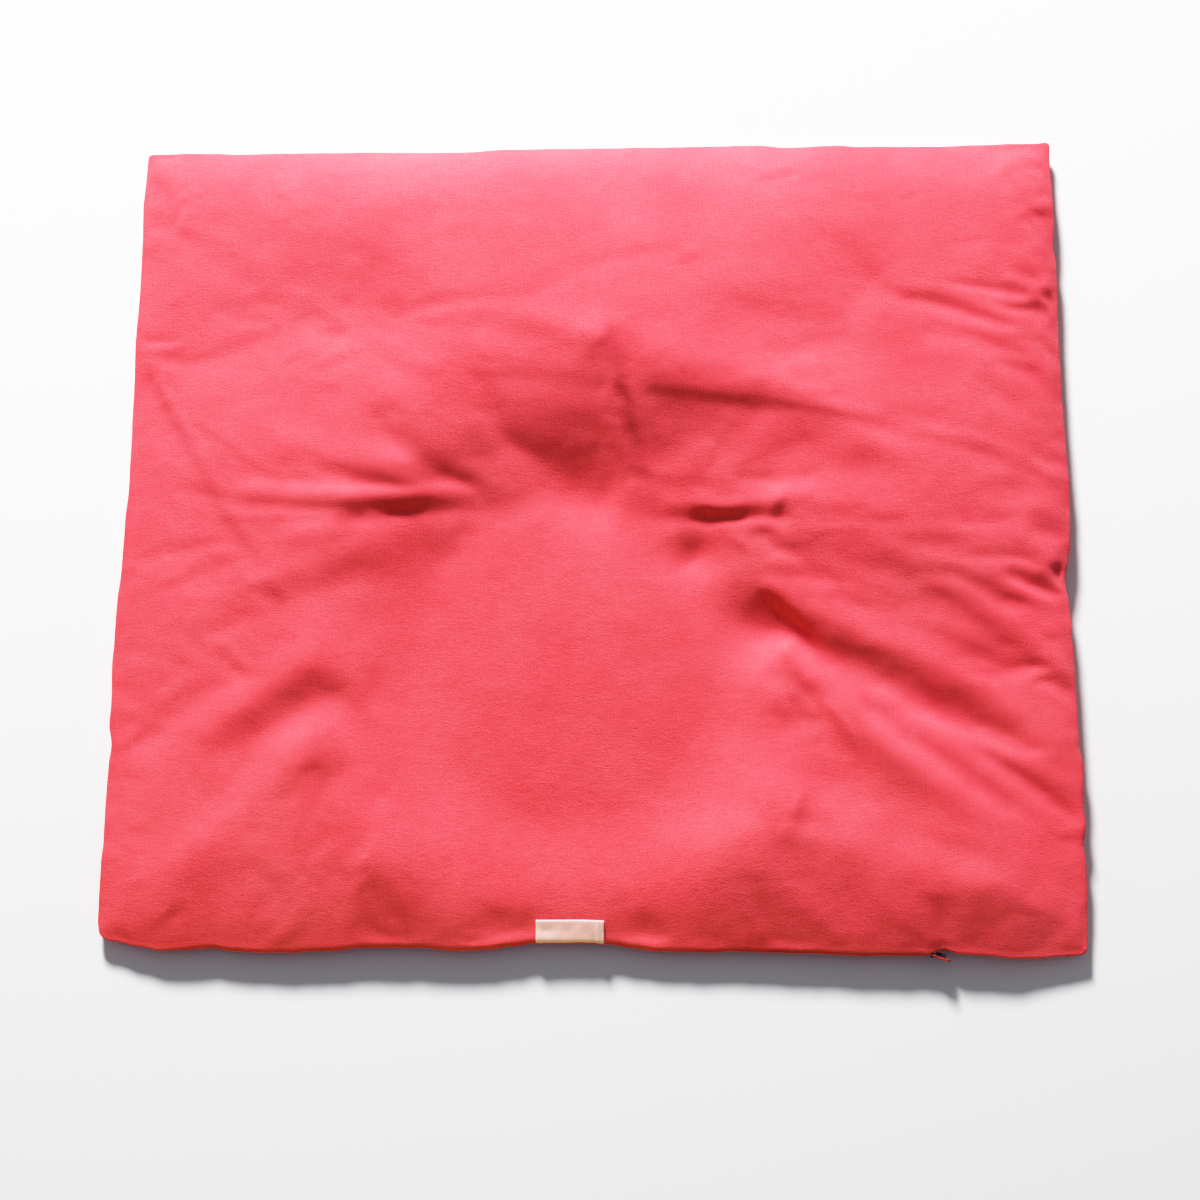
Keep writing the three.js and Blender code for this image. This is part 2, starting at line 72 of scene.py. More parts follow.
FRONT = [(-375, -3.6), (-365, -.9), (-345, 2.9), (-326, 5.6), (-306, 4.6), (-289, 3.5), (-284, 3.1), (-279, 4.4), (-267, 5.7), (-248, 6.2),
         (-228, 5.9), (-209, 4.9), (-190, 4.0), (-171, 1.5), (-132, 1.0), (-94, 2.8), (-75, 1.8), (-56, -.7), (-37, -3.1),
         (1, -3.6), (20, -3.1), (39, -.4), (58, 1.6), (96, 1.9), (115, .9), (171, 1.7), (209, 2.7), (246, 2.4), (256, 2.2),
         (262, .6), (267, -1.8), (272, -2.6), (276, -1.4), (283, .6), (302, 1.5), (320, 3.5), (338, 3.3), (357, 1.6), (370, .6), (375, .2)]

# creases of the top, drawn along their shaded wall with the light on the left.
# step: mm from trough to crest. crest: share of it that stands above the cloth.
# up, down: run-out beyond crest and trough, in wall widths. fade0, fade1: mm.
# stations along the wall: x, y, share of the step, half width of the wall.
Fold = namedtuple("Fold", "name step crest up down fade0 fade1 stations")
FOLDS = [
    Fold("right_long", 14.00, 0.21, 0.99, 1.91, 33.6, 23.3, [(71.9, 2.6, 1.49, 19.5), (92.8, -18.7, 1.17, 15.8), (109.2, -44.6, 0.28, 22.0), (136.4, -62.3, 1.50, 20.7), (161.8, -73.6, 1.20, 9.8), (180.7, -87.7, 1.09, 10.4), (200.5, -95.6, 0.97, 12.5), (219.6, -104.1, 1.03, 11.6), (239.7, -111.6, 1.08, 12.1), (260.7, -121.8, 1.18, 12.5), (281.5, -132.3, 1.09, 11.7), (301.6, -142.9, 0.89, 11.9), (321.9, -156.1, 0.62, 8.9), (342.5, -164.9, 0.62, 6.7)]),
    Fold("right_long_tail", 1.30, 0.51, 0.87, 1.60, 11.1, 8.2, [(256.7, -116.4, 0.78, 4.0), (267.8, -130.1, 0.88, 3.9), (277.6, -144.6, 0.94, 3.6)]),
    Fold("right_way_out", 5.28, 0.31, 1.76, 4.00, 21.1, 13.3, [(290.1, -168.7, 0.45, 3.4), (306.9, -175.0, 0.50, 3.7), (319.8, -183.3, 0.67, 4.0), (339.6, -197.5, 1.00, 4.9), (358.9, -211.0, 1.10, 5.7), (375.4, -223.3, 1.22, 5.6)]),
    Fold("right_between", 4.06, 0.32, 1.34, 1.47, 24.8, 27.2, [(249.8, -160.2, 0.64, 5.2), (267.9, -173.1, 0.72, 5.0), (282.3, -186.6, 0.70, 5.3), (298.0, -198.0, 0.57, 5.4), (316.1, -209.9, 0.64, 5.3)]),
    Fold("right_low_broad", 8.58, 0.29, 1.13, 2.74, 23.6, 30.9, [(207.5, -156.9, 1.21, 13.5), (215.2, -170.7, 0.76, 12.0), (234.1, -189.8, 0.84, 13.3), (256.8, -208.0, 0.66, 13.0), (284.0, -218.9, 0.57, 10.5)]),
    Fold("right_pinch", 2.24, 0.72, 1.05, 2.41, 7.2, 9.8, [(180.1, -136.9, 0.98, 2.7), (190.9, -149.3, 1.06, 2.6), (201.1, -162.3, 0.80, 2.5), (207.2, -180.9, 0.80, 2.7)]),
    Fold("right_pinch_over", 1.27, 0.51, 1.30, 1.69, 19.1, 11.4, [(137.9, -104.1, 0.78, 4.1), (152.1, -117.9, 0.83, 4.1), (162.3, -130.7, 0.78, 4.4), (176.4, -144.6, 0.90, 4.3)]),
    Fold("right_pinch_level", 3.13, 0.01, 1.41, 2.27, 18.4, 5.6, [(132.1, -142.1, 0.87, 5.5), (154.1, -144.7, 0.94, 6.0), (170.1, -146.2, 0.79, 6.4), (188.2, -146.6, 0.84, 6.8)]),
    Fold("right_tuck", 5.38, 0.39, 1.11, 1.30, 19.1, 11.1, [(319.0, -32.3, 0.92, 2.8), (331.9, -35.4, 0.77, 4.1), (344.2, -39.8, 1.01, 5.0), (356.1, -45.6, 1.00, 4.5), (371.1, -54.2, 1.00, 5.3)]),
    Fold("right_tuck_over", 1.34, 0.47, 1.48, 0.97, 16.6, 8.7, [(276.0, -22.6, 0.91, 3.1), (305.0, -22.6, 0.84, 3.6), (325.3, -21.5, 0.75, 3.4), (348.5, -26.0, 1.02, 3.2)]),
    Fold("right_tuck_lip", 1.57, 0.76, 1.89, 1.17, 6.7, 6.6, [(346.8, -35.6, 0.80, 2.7), (357.4, -41.8, 0.73, 2.7), (366.4, -56.2, 0.67, 2.7)]),
    Fold("right_tuck_under", 3.70, 0.60, 2.43, 1.67, 12.9, 12.5, [(282.2, -35.6, 0.72, 4.3), (300.9, -43.4, 0.81, 5.3), (317.2, -49.7, 1.09, 5.9), (341.1, -62.6, 0.83, 4.4)]),
    Fold("right_third", 5.37, 0.49, 1.31, 2.91, 17.7, 12.4, [(256.4, -49.8, 0.63, 5.8), (280.6, -54.3, 0.70, 6.1), (296.6, -64.0, 0.77, 6.6), (312.0, -77.8, 0.80, 6.6), (326.5, -91.0, 0.75, 7.4), (340.4, -102.4, 0.85, 5.9)]),
    Fold("right_third_in", 3.60, 0.39, 1.31, 1.24, 15.9, 10.8, [(212.3, -24.1, 0.74, 6.9), (230.0, -28.9, 0.68, 7.6), (245.3, -32.2, 0.76, 8.0), (262.8, -40.4, 0.79, 7.9)]),
    Fold("right_cuff", 3.13, 0.16, 1.62, 1.63, 17.4, 7.3, [(280.6, -94.3, 0.65, 4.8), (306.1, -98.4, 0.90, 5.5), (325.3, -104.3, 0.80, 5.5), (349.9, -103.8, 0.98, 4.2)]),
    Fold("right_cuff_tick", 2.37, 0.61, 1.12, 1.37, 5.5, 8.4, [(341.0, -117.0, 1.03, 2.4), (352.0, -118.2, 0.95, 2.7), (363.0, -118.6, 0.87, 3.0)]),
    Fold("right_cuff_ray", 1.05, 0.59, 1.41, 1.86, 5.8, 6.4, [(345.7, -127.5, 0.72, 2.6), (357.9, -135.2, 0.77, 2.7), (371.9, -146.1, 0.84, 2.7)]),
    Fold("right_dab", 2.56, 0.38, 1.56, 1.51, 8.1, 8.5, [(142.3, -13.5, 1.17, 3.6), (156.1, -17.4, 0.90, 4.1), (172.1, -21.5, 0.71, 4.5)]),
    Fold("right_level", 1.73, 0.48, 2.01, 1.03, 9.7, 21.9, [(148.0, 8.6, 0.96, 4.4), (180.1, 5.4, 0.68, 4.1), (215.0, 5.5, 0.62, 3.7), (260.0, 3.2, 0.67, 3.3)]),
    Fold("right_level_b", 1.61, 0.26, 1.41, 1.93, 14.2, 29.3, [(171.8, -10.5, 0.85, 7.0), (199.9, -14.7, 0.73, 8.1), (244.0, -12.4, 0.62, 7.4)]),
    Fold("right_level_c", 2.16, 0.14, 1.62, 1.55, 14.2, 25.3, [(150.1, -35.0, 0.78, 4.1), (180.0, -38.3, 0.84, 4.7), (214.0, -41.2, 0.72, 5.3)]),
    Fold("right_level_d", 1.71, 0.43, 1.21, 2.11, 38.8, 13.7, [(229.6, -69.9, 0.76, 4.7), (260.7, -78.4, 0.79, 4.9), (298.7, -91.5, 1.02, 4.9)]),
    Fold("back_upright", 3.20, 0.25, 1.60, 1.60, 22.0, 30.0, [(60.0, 10.0, 0.90, 8.0), (52.0, 36.0, 1.00, 8.0), (43.0, 62.0, 1.00, 8.0), (35.0, 88.0, 0.90, 8.0), (27.0, 114.0, 0.80, 8.0), (20.0, 140.0, 0.60, 8.0), (16.0, 158.0, 0.40, 8.0)]),
    Fold("back_long", 7.40, 0.61, 3.16, 2.59, 9.2, 35.1, [(16.1, 111.2, 0.79, 10.0), (45.4, 109.7, 0.91, 13.3), (70.6, 108.0, 1.43, 13.2), (100.4, 102.0, 1.25, 12.7), (140.1, 95.9, 0.73, 6.2), (170.2, 92.4, 0.43, 4.3), (200.0, 86.2, 0.31, 3.4), (250.0, 74.9, 0.23, 2.7)]),
    Fold("back_long_left", 2.96, 0.08, 1.83, 4.00, 57.5, 12.8, [(-98.0, 119.6, 0.73, 6.3), (-49.8, 120.4, 0.81, 7.5), (0.0, 113.5, 1.14, 9.2), (22.1, 110.1, 2.00, 5.6)]),
    Fold("back_diag", 6.51, 0.13, 1.54, 1.81, 30.7, 22.9, [(-87.5, 86.6, 0.36, 5.6), (-76.3, 80.8, 0.42, 5.6), (-57.6, 72.6, 0.45, 6.4), (-38.9, 60.4, 0.35, 7.3), (-14.2, 50.3, 0.85, 16.2), (8.5, 36.4, 1.80, 21.9), (35.0, 27.5, 1.85, 14.9)]),
    Fold("back_inner", 2.35, 0.51, 1.68, 2.08, 28.0, 6.0, [(-25.8, 92.6, 0.55, 8.1), (-5.0, 86.9, 0.60, 9.4), (17.5, 76.3, 0.83, 9.3)]),
    Fold("right_short", 10.38, 0.38, 1.12, 1.08, 69.3, 44.0, [(10.4, 16.2, 0.12, 10.0), (40.8, 15.5, 0.24, 8.0), (70.1, 12.8, 0.30, 6.0), (98.2, 10.6, 0.41, 5.2), (125.1, 10.0, 0.52, 5.2), (148.0, 10.4, 0.54, 5.4), (176.0, 11.0, 0.36, 6.4)]),
    Fold("right_short_low", 2.62, 0.68, 1.84, 1.18, 25.2, 16.3, [(92.0, -3.3, 0.94, 4.2), (112.1, -1.8, 0.82, 4.3), (134.1, -3.9, 0.73, 4.0), (156.0, -4.8, 0.61, 4.4)]),
    Fold("back_ray_a", 2.43, 0.51, 1.59, 1.54, 18.1, 15.7, [(82.2, 37.7, 0.95, 6.2), (95.0, 52.8, 0.83, 6.2), (109.8, 68.0, 0.65, 6.6), (129.3, 86.7, 0.50, 7.5)]),
    Fold("back_ray_b", 3.93, 0.12, 1.16, 1.69, 14.2, 16.7, [(121.2, 40.8, 0.70, 6.9), (138.5, 57.7, 0.62, 8.9), (159.3, 70.2, 1.08, 13.5), (174.1, 81.9, 0.75, 11.5)]),
    Fold("back_ray_c", 2.47, 0.37, 1.47, 2.56, 10.3, 22.8, [(180.0, 56.0, 0.86, 9.3), (206.0, 49.9, 0.77, 7.2), (236.0, 47.8, 0.64, 6.2)]),
    Fold("left_high", 7.43, 0.63, 1.98, 1.13, 17.6, 20.3, [(-174.9, 91.4, 0.50, 8.2), (-163.1, 83.7, 0.57, 9.2), (-143.3, 70.4, 0.52, 8.4), (-123.2, 53.3, 0.22, 6.6), (-106.7, 43.4, 0.38, 5.4), (-87.4, 36.5, 0.56, 6.0), (-69.2, 25.5, 0.44, 11.0), (-49.5, 12.0, 0.28, 14.0)]),
    Fold("left_high_second", 7.36, 0.59, 2.06, 2.90, 11.4, 30.3, [(-216.3, 48.7, 0.41, 5.5), (-190.0, 44.0, 0.59, 6.5), (-168.2, 38.2, 0.86, 7.1), (-150.1, 32.7, 1.10, 7.3), (-128.9, 23.4, 1.59, 6.2)]),
    Fold("left_level", 9.25, 0.78, 1.51, 1.17, 18.6, 41.4, [(-291.7, 24.4, 0.18, 4.0), (-259.7, 21.0, 0.26, 5.1), (-234.9, 17.0, 0.33, 5.2), (-204.9, 16.1, 0.60, 6.7), (-179.9, 14.3, 0.66, 6.6), (-150.0, 15.6, 0.55, 6.0), (-124.9, 18.2, 0.42, 5.6), (-99.5, 20.0, 0.35, 6.4), (-72.2, 20.5, 0.28, 7.5), (-40.0, 19.0, 0.14, 9.5)]),
    Fold("left_level_thin", 0.92, 0.74, 1.41, 1.08, 18.5, 19.4, [(-304.0, 4.0, 0.68, 3.0), (-260.1, 4.5, 0.70, 2.6), (-220.0, 4.1, 0.83, 2.1), (-180.0, 4.8, 0.75, 2.1)]),
    Fold("left_broad", 4.91, 0.58, 1.29, 1.15, 14.1, 9.3, [(-269.6, -66.7, 0.50, 8.7), (-245.0, -52.9, 0.54, 10.6), (-225.0, -45.9, 0.77, 10.4), (-200.8, -37.6, 0.81, 11.6), (-180.3, -31.2, 0.66, 11.8), (-158.9, -29.6, 0.47, 13.0), (-129.8, -16.9, 0.52, 12.8), (-99.3, -13.8, 1.18, 9.2)]),
    Fold("left_broad_out", 1.80, 0.25, 1.23, 1.17, 11.2, 12.5, [(-320.5, -90.8, 0.83, 6.1), (-290.9, -78.1, 0.85, 7.0), (-258.9, -60.4, 1.06, 7.5)]),
    Fold("left_low", 13.90, 0.38, 1.32, 1.80, 33.3, 66.2, [(-304.4, -185.4, 0.27, 7.6), (-275.3, -167.5, 0.40, 11.2), (-255.6, -155.0, 0.59, 11.2), (-236.2, -141.1, 0.68, 10.8), (-218.1, -131.8, 0.91, 13.8), (-203.4, -123.2, 1.29, 15.5), (-179.8, -112.5, 0.97, 20.6), (-149.9, -104.5, 0.92, 18.4)]),
    Fold("left_low_shoulder", 4.35, 1.10, 1.29, 1.82, 53.1, 10.1, [(-338.2, -305.8, 0.71, 12.4), (-300.5, -269.5, 0.67, 11.8), (-265.1, -239.9, 0.45, 9.9), (-234.9, -215.1, 0.39, 10.6), (-214.5, -190.3, 0.87, 10.5), (-198.7, -169.1, 1.14, 10.9), (-182.2, -149.7, 0.99, 18.3), (-160.5, -138.8, 1.63, 21.0)]),
    Fold("left_low_upright", 3.64, 0.30, 1.40, 2.02, 16.1, 21.6, [(-213.0, -252.2, 0.80, 6.4), (-208.4, -235.3, 0.79, 7.0), (-206.6, -214.9, 0.82, 6.9), (-200.2, -196.3, 0.88, 6.4), (-189.6, -176.2, 0.93, 6.1)]),
    Fold("left_low_ray", 0.57, 0.74, 1.76, 1.34, 12.4, 15.9, [(-244.5, -232.2, 0.63, 3.2), (-231.6, -257.4, 0.64, 3.2), (-214.2, -284.1, 0.75, 3.1)]),
    Fold("left_x_a", 1.84, 0.44, 1.32, 1.78, 14.5, 9.6, [(-314.3, -89.9, 0.77, 4.3), (-291.2, -100.1, 0.92, 5.0), (-277.4, -107.6, 0.83, 4.1), (-256.5, -124.1, 0.83, 3.7)]),
    Fold("left_x_b", 0.91, 0.28, 1.67, 1.33, 6.6, 18.4, [(-361.7, -92.1, 1.02, 4.2), (-344.9, -98.7, 0.84, 4.4), (-325.1, -104.2, 0.68, 4.2), (-295.9, -112.7, 0.62, 3.9)]),
    Fold("left_tick_a", 1.42, 0.41, 1.45, 2.21, 4.3, 10.9, [(-363.9, -151.5, 1.02, 3.6), (-351.4, -152.9, 0.84, 4.0), (-340.9, -157.5, 0.84, 3.7)]),
    Fold("left_tick_b", 0.97, 0.55, 1.67, 1.47, 12.0, 10.2, [(-354.8, -175.8, 0.83, 4.5), (-341.0, -166.5, 0.72, 4.7), (-326.6, -158.1, 0.68, 4.4)]),
    Fold("left_tick_c", 0.61, 0.37, 1.57, 1.62, 4.0, 8.1, [(-369.9, -194.5, 0.79, 2.8), (-356.0, -196.7, 0.76, 2.8), (-342.0, -195.9, 0.83, 2.8)]),
    Fold("left_cross", 2.59, 0.35, 1.39, 3.40, 9.5, 52.6, [(-360.6, 131.3, 0.88, 3.0), (-345.5, 101.7, 1.06, 3.9), (-331.7, 79.4, 0.99, 4.9), (-316.2, 54.8, 0.90, 5.2), (-300.2, 29.9, 0.71, 4.5), (-286.4, 7.8, 0.74, 4.6), (-272.1, -12.1, 0.84, 4.4), (-257.0, -28.9, 0.62, 4.0), (-240.6, -48.5, 0.64, 3.8)]),
    Fold("left_cross_branch", 0.79, 0.47, 1.86, 1.22, 10.2, 21.0, [(-324.1, 89.9, 0.91, 2.8), (-305.1, 75.8, 0.83, 2.8), (-288.1, 63.9, 0.64, 2.8), (-267.5, 48.7, 0.66, 2.9), (-248.8, 40.5, 0.71, 3.0), (-231.5, 32.3, 0.67, 3.0)]),
    Fold("left_cuff", 1.39, -0.10, 1.60, 2.90, 16.3, 54.6, [(-361.7, 143.3, 0.96, 3.9), (-334.5, 141.8, 1.05, 4.2), (-319.7, 139.5, 0.98, 4.3), (-300.3, 139.1, 0.70, 4.1), (-280.5, 139.9, 0.60, 4.3), (-258.2, 146.5, 0.46, 4.6), (-230.0, 154.2, 0.38, 4.4)]),
    Fold("left_nick", 0.87, 0.43, 1.08, 1.64, 4.0, 11.0, [(-373.8, 81.5, 0.72, 3.4), (-361.5, 86.0, 0.57, 3.3), (-345.7, 94.4, 0.53, 3.4)]),
    Fold("left_level_low", 1.34, 0.21, 1.55, 1.90, 9.6, 15.4, [(-364.3, -28.5, 0.71, 3.7), (-346.1, -22.1, 0.72, 3.3), (-330.9, -17.6, 0.95, 3.4), (-310.6, -13.2, 0.81, 4.1), (-284.3, -10.9, 0.68, 3.9)]),
    Fold("left_far_a", 1.55, 0.26, 1.20, 2.66, 13.5, 38.3, [(-357.3, 259.3, 1.25, 7.0), (-328.7, 245.3, 0.91, 5.9), (-303.4, 229.4, 0.87, 5.8), (-284.0, 215.9, 0.65, 7.0), (-262.2, 205.2, 0.67, 7.8), (-235.0, 203.1, 0.75, 7.8), (-196.0, 202.3, 0.69, 7.6)]),
    Fold("left_far_b", 0.36, 0.70, 1.66, 1.27, 6.2, 8.4, [(-351.9, 183.7, 0.77, 2.9), (-337.9, 189.8, 0.63, 3.0), (-322.0, 200.1, 0.60, 3.1)]),
    Fold("left_far_c", 1.13, -0.02, 1.37, 1.74, 15.2, 13.8, [(-311.5, 185.5, 0.70, 5.3), (-284.3, 176.8, 0.68, 5.5), (-261.8, 165.3, 0.79, 5.4), (-242.0, 155.0, 0.84, 5.1)]),
    Fold("left_far_d", 2.13, 0.09, 1.78, 2.29, 12.1, 8.3, [(-239.8, 177.8, 0.91, 5.2), (-217.6, 173.1, 0.98, 5.2), (-204.3, 164.5, 0.76, 4.8), (-190.0, 154.1, 0.95, 4.7)]),
    Fold("left_far_e", 1.03, 0.87, 1.60, 1.54, 11.5, 14.3, [(-268.2, 299.9, 0.97, 3.9), (-251.8, 276.1, 0.81, 4.1), (-232.2, 249.8, 0.63, 4.0)]),
    Fold("left_far_f", 6.35, 0.55, 1.91, 1.91, 52.8, 53.3, [(-280.0, 236.1, 0.97, 19.2), (-220.1, 221.5, 0.87, 22.0), (-170.0, 217.1, 1.18, 22.0), (-130.2, 223.0, 1.36, 21.4)]),
    Fold("back_left_arc", 2.45, 0.03, 1.96, 3.30, 15.6, 39.6, [(-169.0, 166.3, 0.74, 4.9), (-141.0, 179.1, 0.72, 5.2), (-110.3, 184.6, 0.84, 5.1), (-80.0, 188.0, 0.70, 5.3), (-30.0, 186.5, 0.60, 5.2)]),
    Fold("back_right", 3.90, 0.17, 2.28, 2.05, 13.7, 24.5, [(227.8, 197.7, 0.64, 4.8), (247.8, 189.5, 0.56, 4.3), (262.9, 186.5, 0.72, 3.7), (282.2, 183.4, 0.98, 4.7), (302.2, 174.7, 0.88, 4.0), (321.6, 166.6, 0.63, 3.6), (338.7, 158.1, 0.72, 3.9)]),
    Fold("back_right_over", 2.38, 0.10, 1.77, 1.75, 29.8, 6.5, [(270.5, 201.4, 0.54, 2.4), (300.9, 198.4, 0.70, 2.7), (326.0, 193.8, 0.80, 3.1), (345.1, 184.3, 0.76, 3.8), (362.4, 175.8, 0.96, 3.2)]),
    Fold("back_right_under", 2.32, 0.70, 1.39, 1.15, 9.6, 7.7, [(318.0, 173.7, 0.82, 2.5), (338.1, 174.7, 0.82, 4.0), (352.5, 174.4, 0.78, 4.6), (368.6, 171.1, 0.72, 5.7)]),
    Fold("back_right_lip", 3.64, 1.00, 1.28, 1.33, 11.1, 6.0, [(354.3, 185.6, 1.00, 2.2), (364.8, 176.4, 0.90, 2.4), (371.2, 161.5, 0.72, 2.4)]),
    Fold("back_right_low", 3.05, 0.49, 1.66, 1.34, 12.6, 12.0, [(291.2, 159.4, 0.82, 4.6), (317.3, 153.1, 0.94, 5.2), (339.5, 141.7, 1.11, 5.5)]),
    Fold("back_right_low_b", 0.73, 0.45, 1.48, 1.63, 11.9, 6.6, [(318.0, 126.8, 0.68, 4.2), (340.0, 122.9, 0.73, 4.3), (351.6, 116.3, 0.71, 4.4), (367.3, 107.7, 0.78, 4.4)]),
    Fold("back_right_ray", 1.00, 0.55, 1.36, 1.71, 6.8, 7.8, [(338.6, 144.8, 0.75, 2.4), (350.3, 130.5, 0.75, 2.4), (368.0, 114.0, 0.82, 2.4)]),
    Fold("back_right_ray_b", 1.53, 0.27, 1.64, 1.48, 9.0, 6.1, [(349.5, 260.6, 0.71, 3.3), (360.1, 248.1, 0.81, 3.3), (372.9, 231.9, 0.90, 3.1)]),
    Fold("back_right_tick", 1.40, 0.65, 1.69, 1.60, 7.5, 5.0, [(345.9, 293.8, 0.67, 2.6), (359.8, 289.4, 0.74, 2.7), (374.0, 287.1, 0.86, 2.7)]),
    Fold("back_right_diag", 2.69, 0.12, 1.34, 2.68, 39.9, 18.9, [(164.3, 256.4, 0.63, 7.4), (201.1, 233.4, 0.81, 7.7), (225.4, 208.4, 1.10, 9.3), (242.3, 187.4, 1.30, 12.7)]),
    Fold("back_right_arc", 2.59, 0.32, 2.59, 2.43, 42.1, 19.5, [(94.2, 183.3, 0.65, 7.5), (130.5, 180.0, 0.70, 7.4), (160.7, 173.5, 0.77, 8.5), (190.3, 166.9, 0.84, 8.9), (212.4, 163.0, 0.91, 9.3)]),
    Fold("back_seam_ray", 0.96, 0.61, 1.50, 1.66, 10.9, 13.0, [(134.2, 276.3, 0.80, 4.2), (155.3, 282.1, 0.78, 4.2), (175.5, 287.4, 0.71, 4.3), (200.4, 295.9, 0.68, 4.3)]),
    Fold("back_mid_arc", 0.94, 0.25, 2.74, 1.10, 28.2, 25.5, [(-64.5, 185.5, 0.58, 6.1), (-21.1, 201.0, 0.57, 5.5), (-1.1, 210.6, 0.68, 5.2), (39.3, 220.0, 0.80, 5.2), (83.7, 224.6, 0.73, 5.3)]),
    Fold("right_mid", 1.85, 0.65, 1.67, 1.57, 20.4, 27.6, [(249.7, 74.7, 0.72, 4.0), (279.7, 67.0, 0.73, 3.4), (310.6, 59.5, 0.78, 4.1), (351.1, 40.2, 0.82, 4.7)]),
    Fold("right_mid_b", 1.13, 0.20, 1.47, 1.75, 9.8, 8.6, [(336.1, 52.2, 0.72, 3.0), (349.7, 43.6, 0.79, 3.2), (369.3, 27.1, 0.90, 3.2)]),
    Fold("front_left_hook", 2.03, 0.31, 1.85, 1.71, 8.0, 9.5, [(-275.9, -325.2, 0.75, 5.2), (-250.1, -316.6, 0.70, 5.3), (-235.5, -310.2, 0.87, 4.9), (-226.6, -300.5, 0.83, 5.0), (-214.8, -286.2, 0.84, 4.7)]),
    Fold("front_left_dip", 2.93, 0.23, 1.83, 1.66, 21.7, 6.1, [(-171.0, -276.3, 0.62, 5.4), (-166.0, -295.4, 0.69, 5.7), (-159.4, -307.4, 0.79, 6.2), (-146.1, -314.3, 0.91, 7.2), (-125.9, -321.7, 1.50, 6.4)]),
    Fold("front_right_valley", 0.83, 0.08, 2.09, 1.54, 7.3, 11.3, [(276.5, -317.7, 0.66, 5.1), (296.1, -304.6, 0.62, 5.3), (310.3, -294.5, 0.80, 4.4), (328.2, -284.3, 0.91, 3.9)]),
    Fold("front_right_ridge", 0.92, 0.64, 1.18, 1.54, 22.3, 14.9, [(111.1, -276.7, 0.62, 4.8), (121.0, -290.8, 0.64, 5.0), (133.1, -306.7, 0.74, 5.0)]),
    Fold("front_right_crook", 1.66, 0.56, 0.93, 1.60, 16.9, 8.9, [(149.8, -286.2, 0.92, 6.3), (166.5, -299.4, 1.01, 7.8), (182.4, -311.4, 0.71, 7.2), (200.0, -320.1, 0.72, 6.7)]),
    Fold("front_right_fan_a", 1.97, 0.53, 1.49, 1.57, 16.5, 14.4, [(168.0, -256.0, 0.79, 5.9), (181.6, -272.2, 0.80, 6.1), (190.0, -290.0, 0.70, 5.4)]),
    Fold("front_right_fan_b", 0.83, 0.49, 1.53, 1.49, 12.8, 7.9, [(214.6, -277.5, 0.67, 5.5), (227.2, -290.8, 0.58, 5.8), (240.4, -303.6, 0.58, 5.6)]),
    Fold("front_zip_ray", 1.30, 0.65, 1.19, 1.48, 6.9, 14.6, [(243.3, -307.5, 0.85, 4.1), (255.3, -313.1, 0.76, 4.4), (270.1, -321.8, 0.68, 4.3)]),
    Fold("front_mid_a", 3.45, 0.22, 1.67, 3.33, 6.6, 13.0, [(-95.4, -322.5, 0.91, 8.2), (-82.8, -307.1, 0.88, 11.8), (-67.5, -288.4, 1.01, 11.9)]),
    Fold("front_mid_b", 3.71, 0.13, 1.41, 2.55, 19.0, 16.4, [(45.6, -288.7, 0.97, 7.9), (56.0, -304.0, 0.91, 9.0), (71.4, -318.7, 0.93, 7.0)]),
    Fold("fine_001", 2.26, 0.76, 2.08, 1.51, 20.3, 11.0, [(-129.7, 167.4, 0.77, 6.3), (-101.5, 168.7, 0.76, 6.7), (-78.5, 167.4, 0.71, 6.9), (-56.9, 160.7, 0.82, 7.1), (-35.6, 153.7, 1.06, 7.4), (-14.1, 146.9, 1.13, 8.4), (10.2, 133.5, 1.42, 7.2)]),
    Fold("fine_002", 1.41, 0.28, 1.77, 1.56, 17.5, 15.0, [(60.0, 64.2, 0.76, 6.8), (49.3, 90.1, 0.87, 6.2), (41.1, 111.4, 1.03, 6.5), (32.1, 132.3, 0.80, 4.9), (17.0, 156.1, 0.78, 5.2)]),
    Fold("fine_003", 1.32, -0.10, 1.56, 2.10, 20.4, 12.2, [(57.7, 80.4, 0.93, 7.7), (83.2, 76.8, 0.90, 7.8), (104.5, 72.0, 1.00, 6.4), (119.3, 53.2, 0.80, 5.6), (134.3, 39.2, 0.77, 4.9), (159.0, 44.8, 0.83, 5.9), (186.0, 45.1, 1.02, 6.5)]),
    Fold("fine_004", 1.39, 0.09, 1.81, 1.61, 26.4, 13.8, [(-130.0, 63.1, 0.80, 6.8), (-148.7, 45.2, 0.85, 7.1), (-159.9, 28.5, 0.87, 7.3), (-171.2, 11.9, 0.77, 7.2), (-177.1, -8.2, 0.92, 5.6), (-194.8, -26.8, 1.14, 6.1)]),
    Fold("fine_005", 2.05, 0.73, 1.96, 1.84, 11.4, 31.0, [(359.2, 27.8, 0.97, 7.0), (334.9, 15.6, 0.88, 6.9), (317.9, -1.4, 0.97, 7.5), (294.3, -2.0, 0.90, 6.8), (265.9, -3.5, 0.80, 6.5)]),
    Fold("fine_006", 3.07, 0.68, 1.51, 2.38, 16.1, 27.0, [(169.8, 88.6, 1.22, 7.3), (192.1, 74.3, 1.29, 8.4), (209.8, 61.8, 1.04, 9.0), (229.2, 52.2, 0.76, 7.1), (253.7, 41.6, 0.73, 6.3)]),
    Fold("fine_007", 0.98, 0.18, 1.49, 1.62, 17.8, 16.3, [(196.4, -58.3, 0.70, 6.3), (225.8, -58.7, 0.71, 6.9), (249.1, -54.8, 1.23, 7.0), (267.9, -39.4, 0.87, 6.3), (295.0, -31.6, 0.82, 6.0)]),
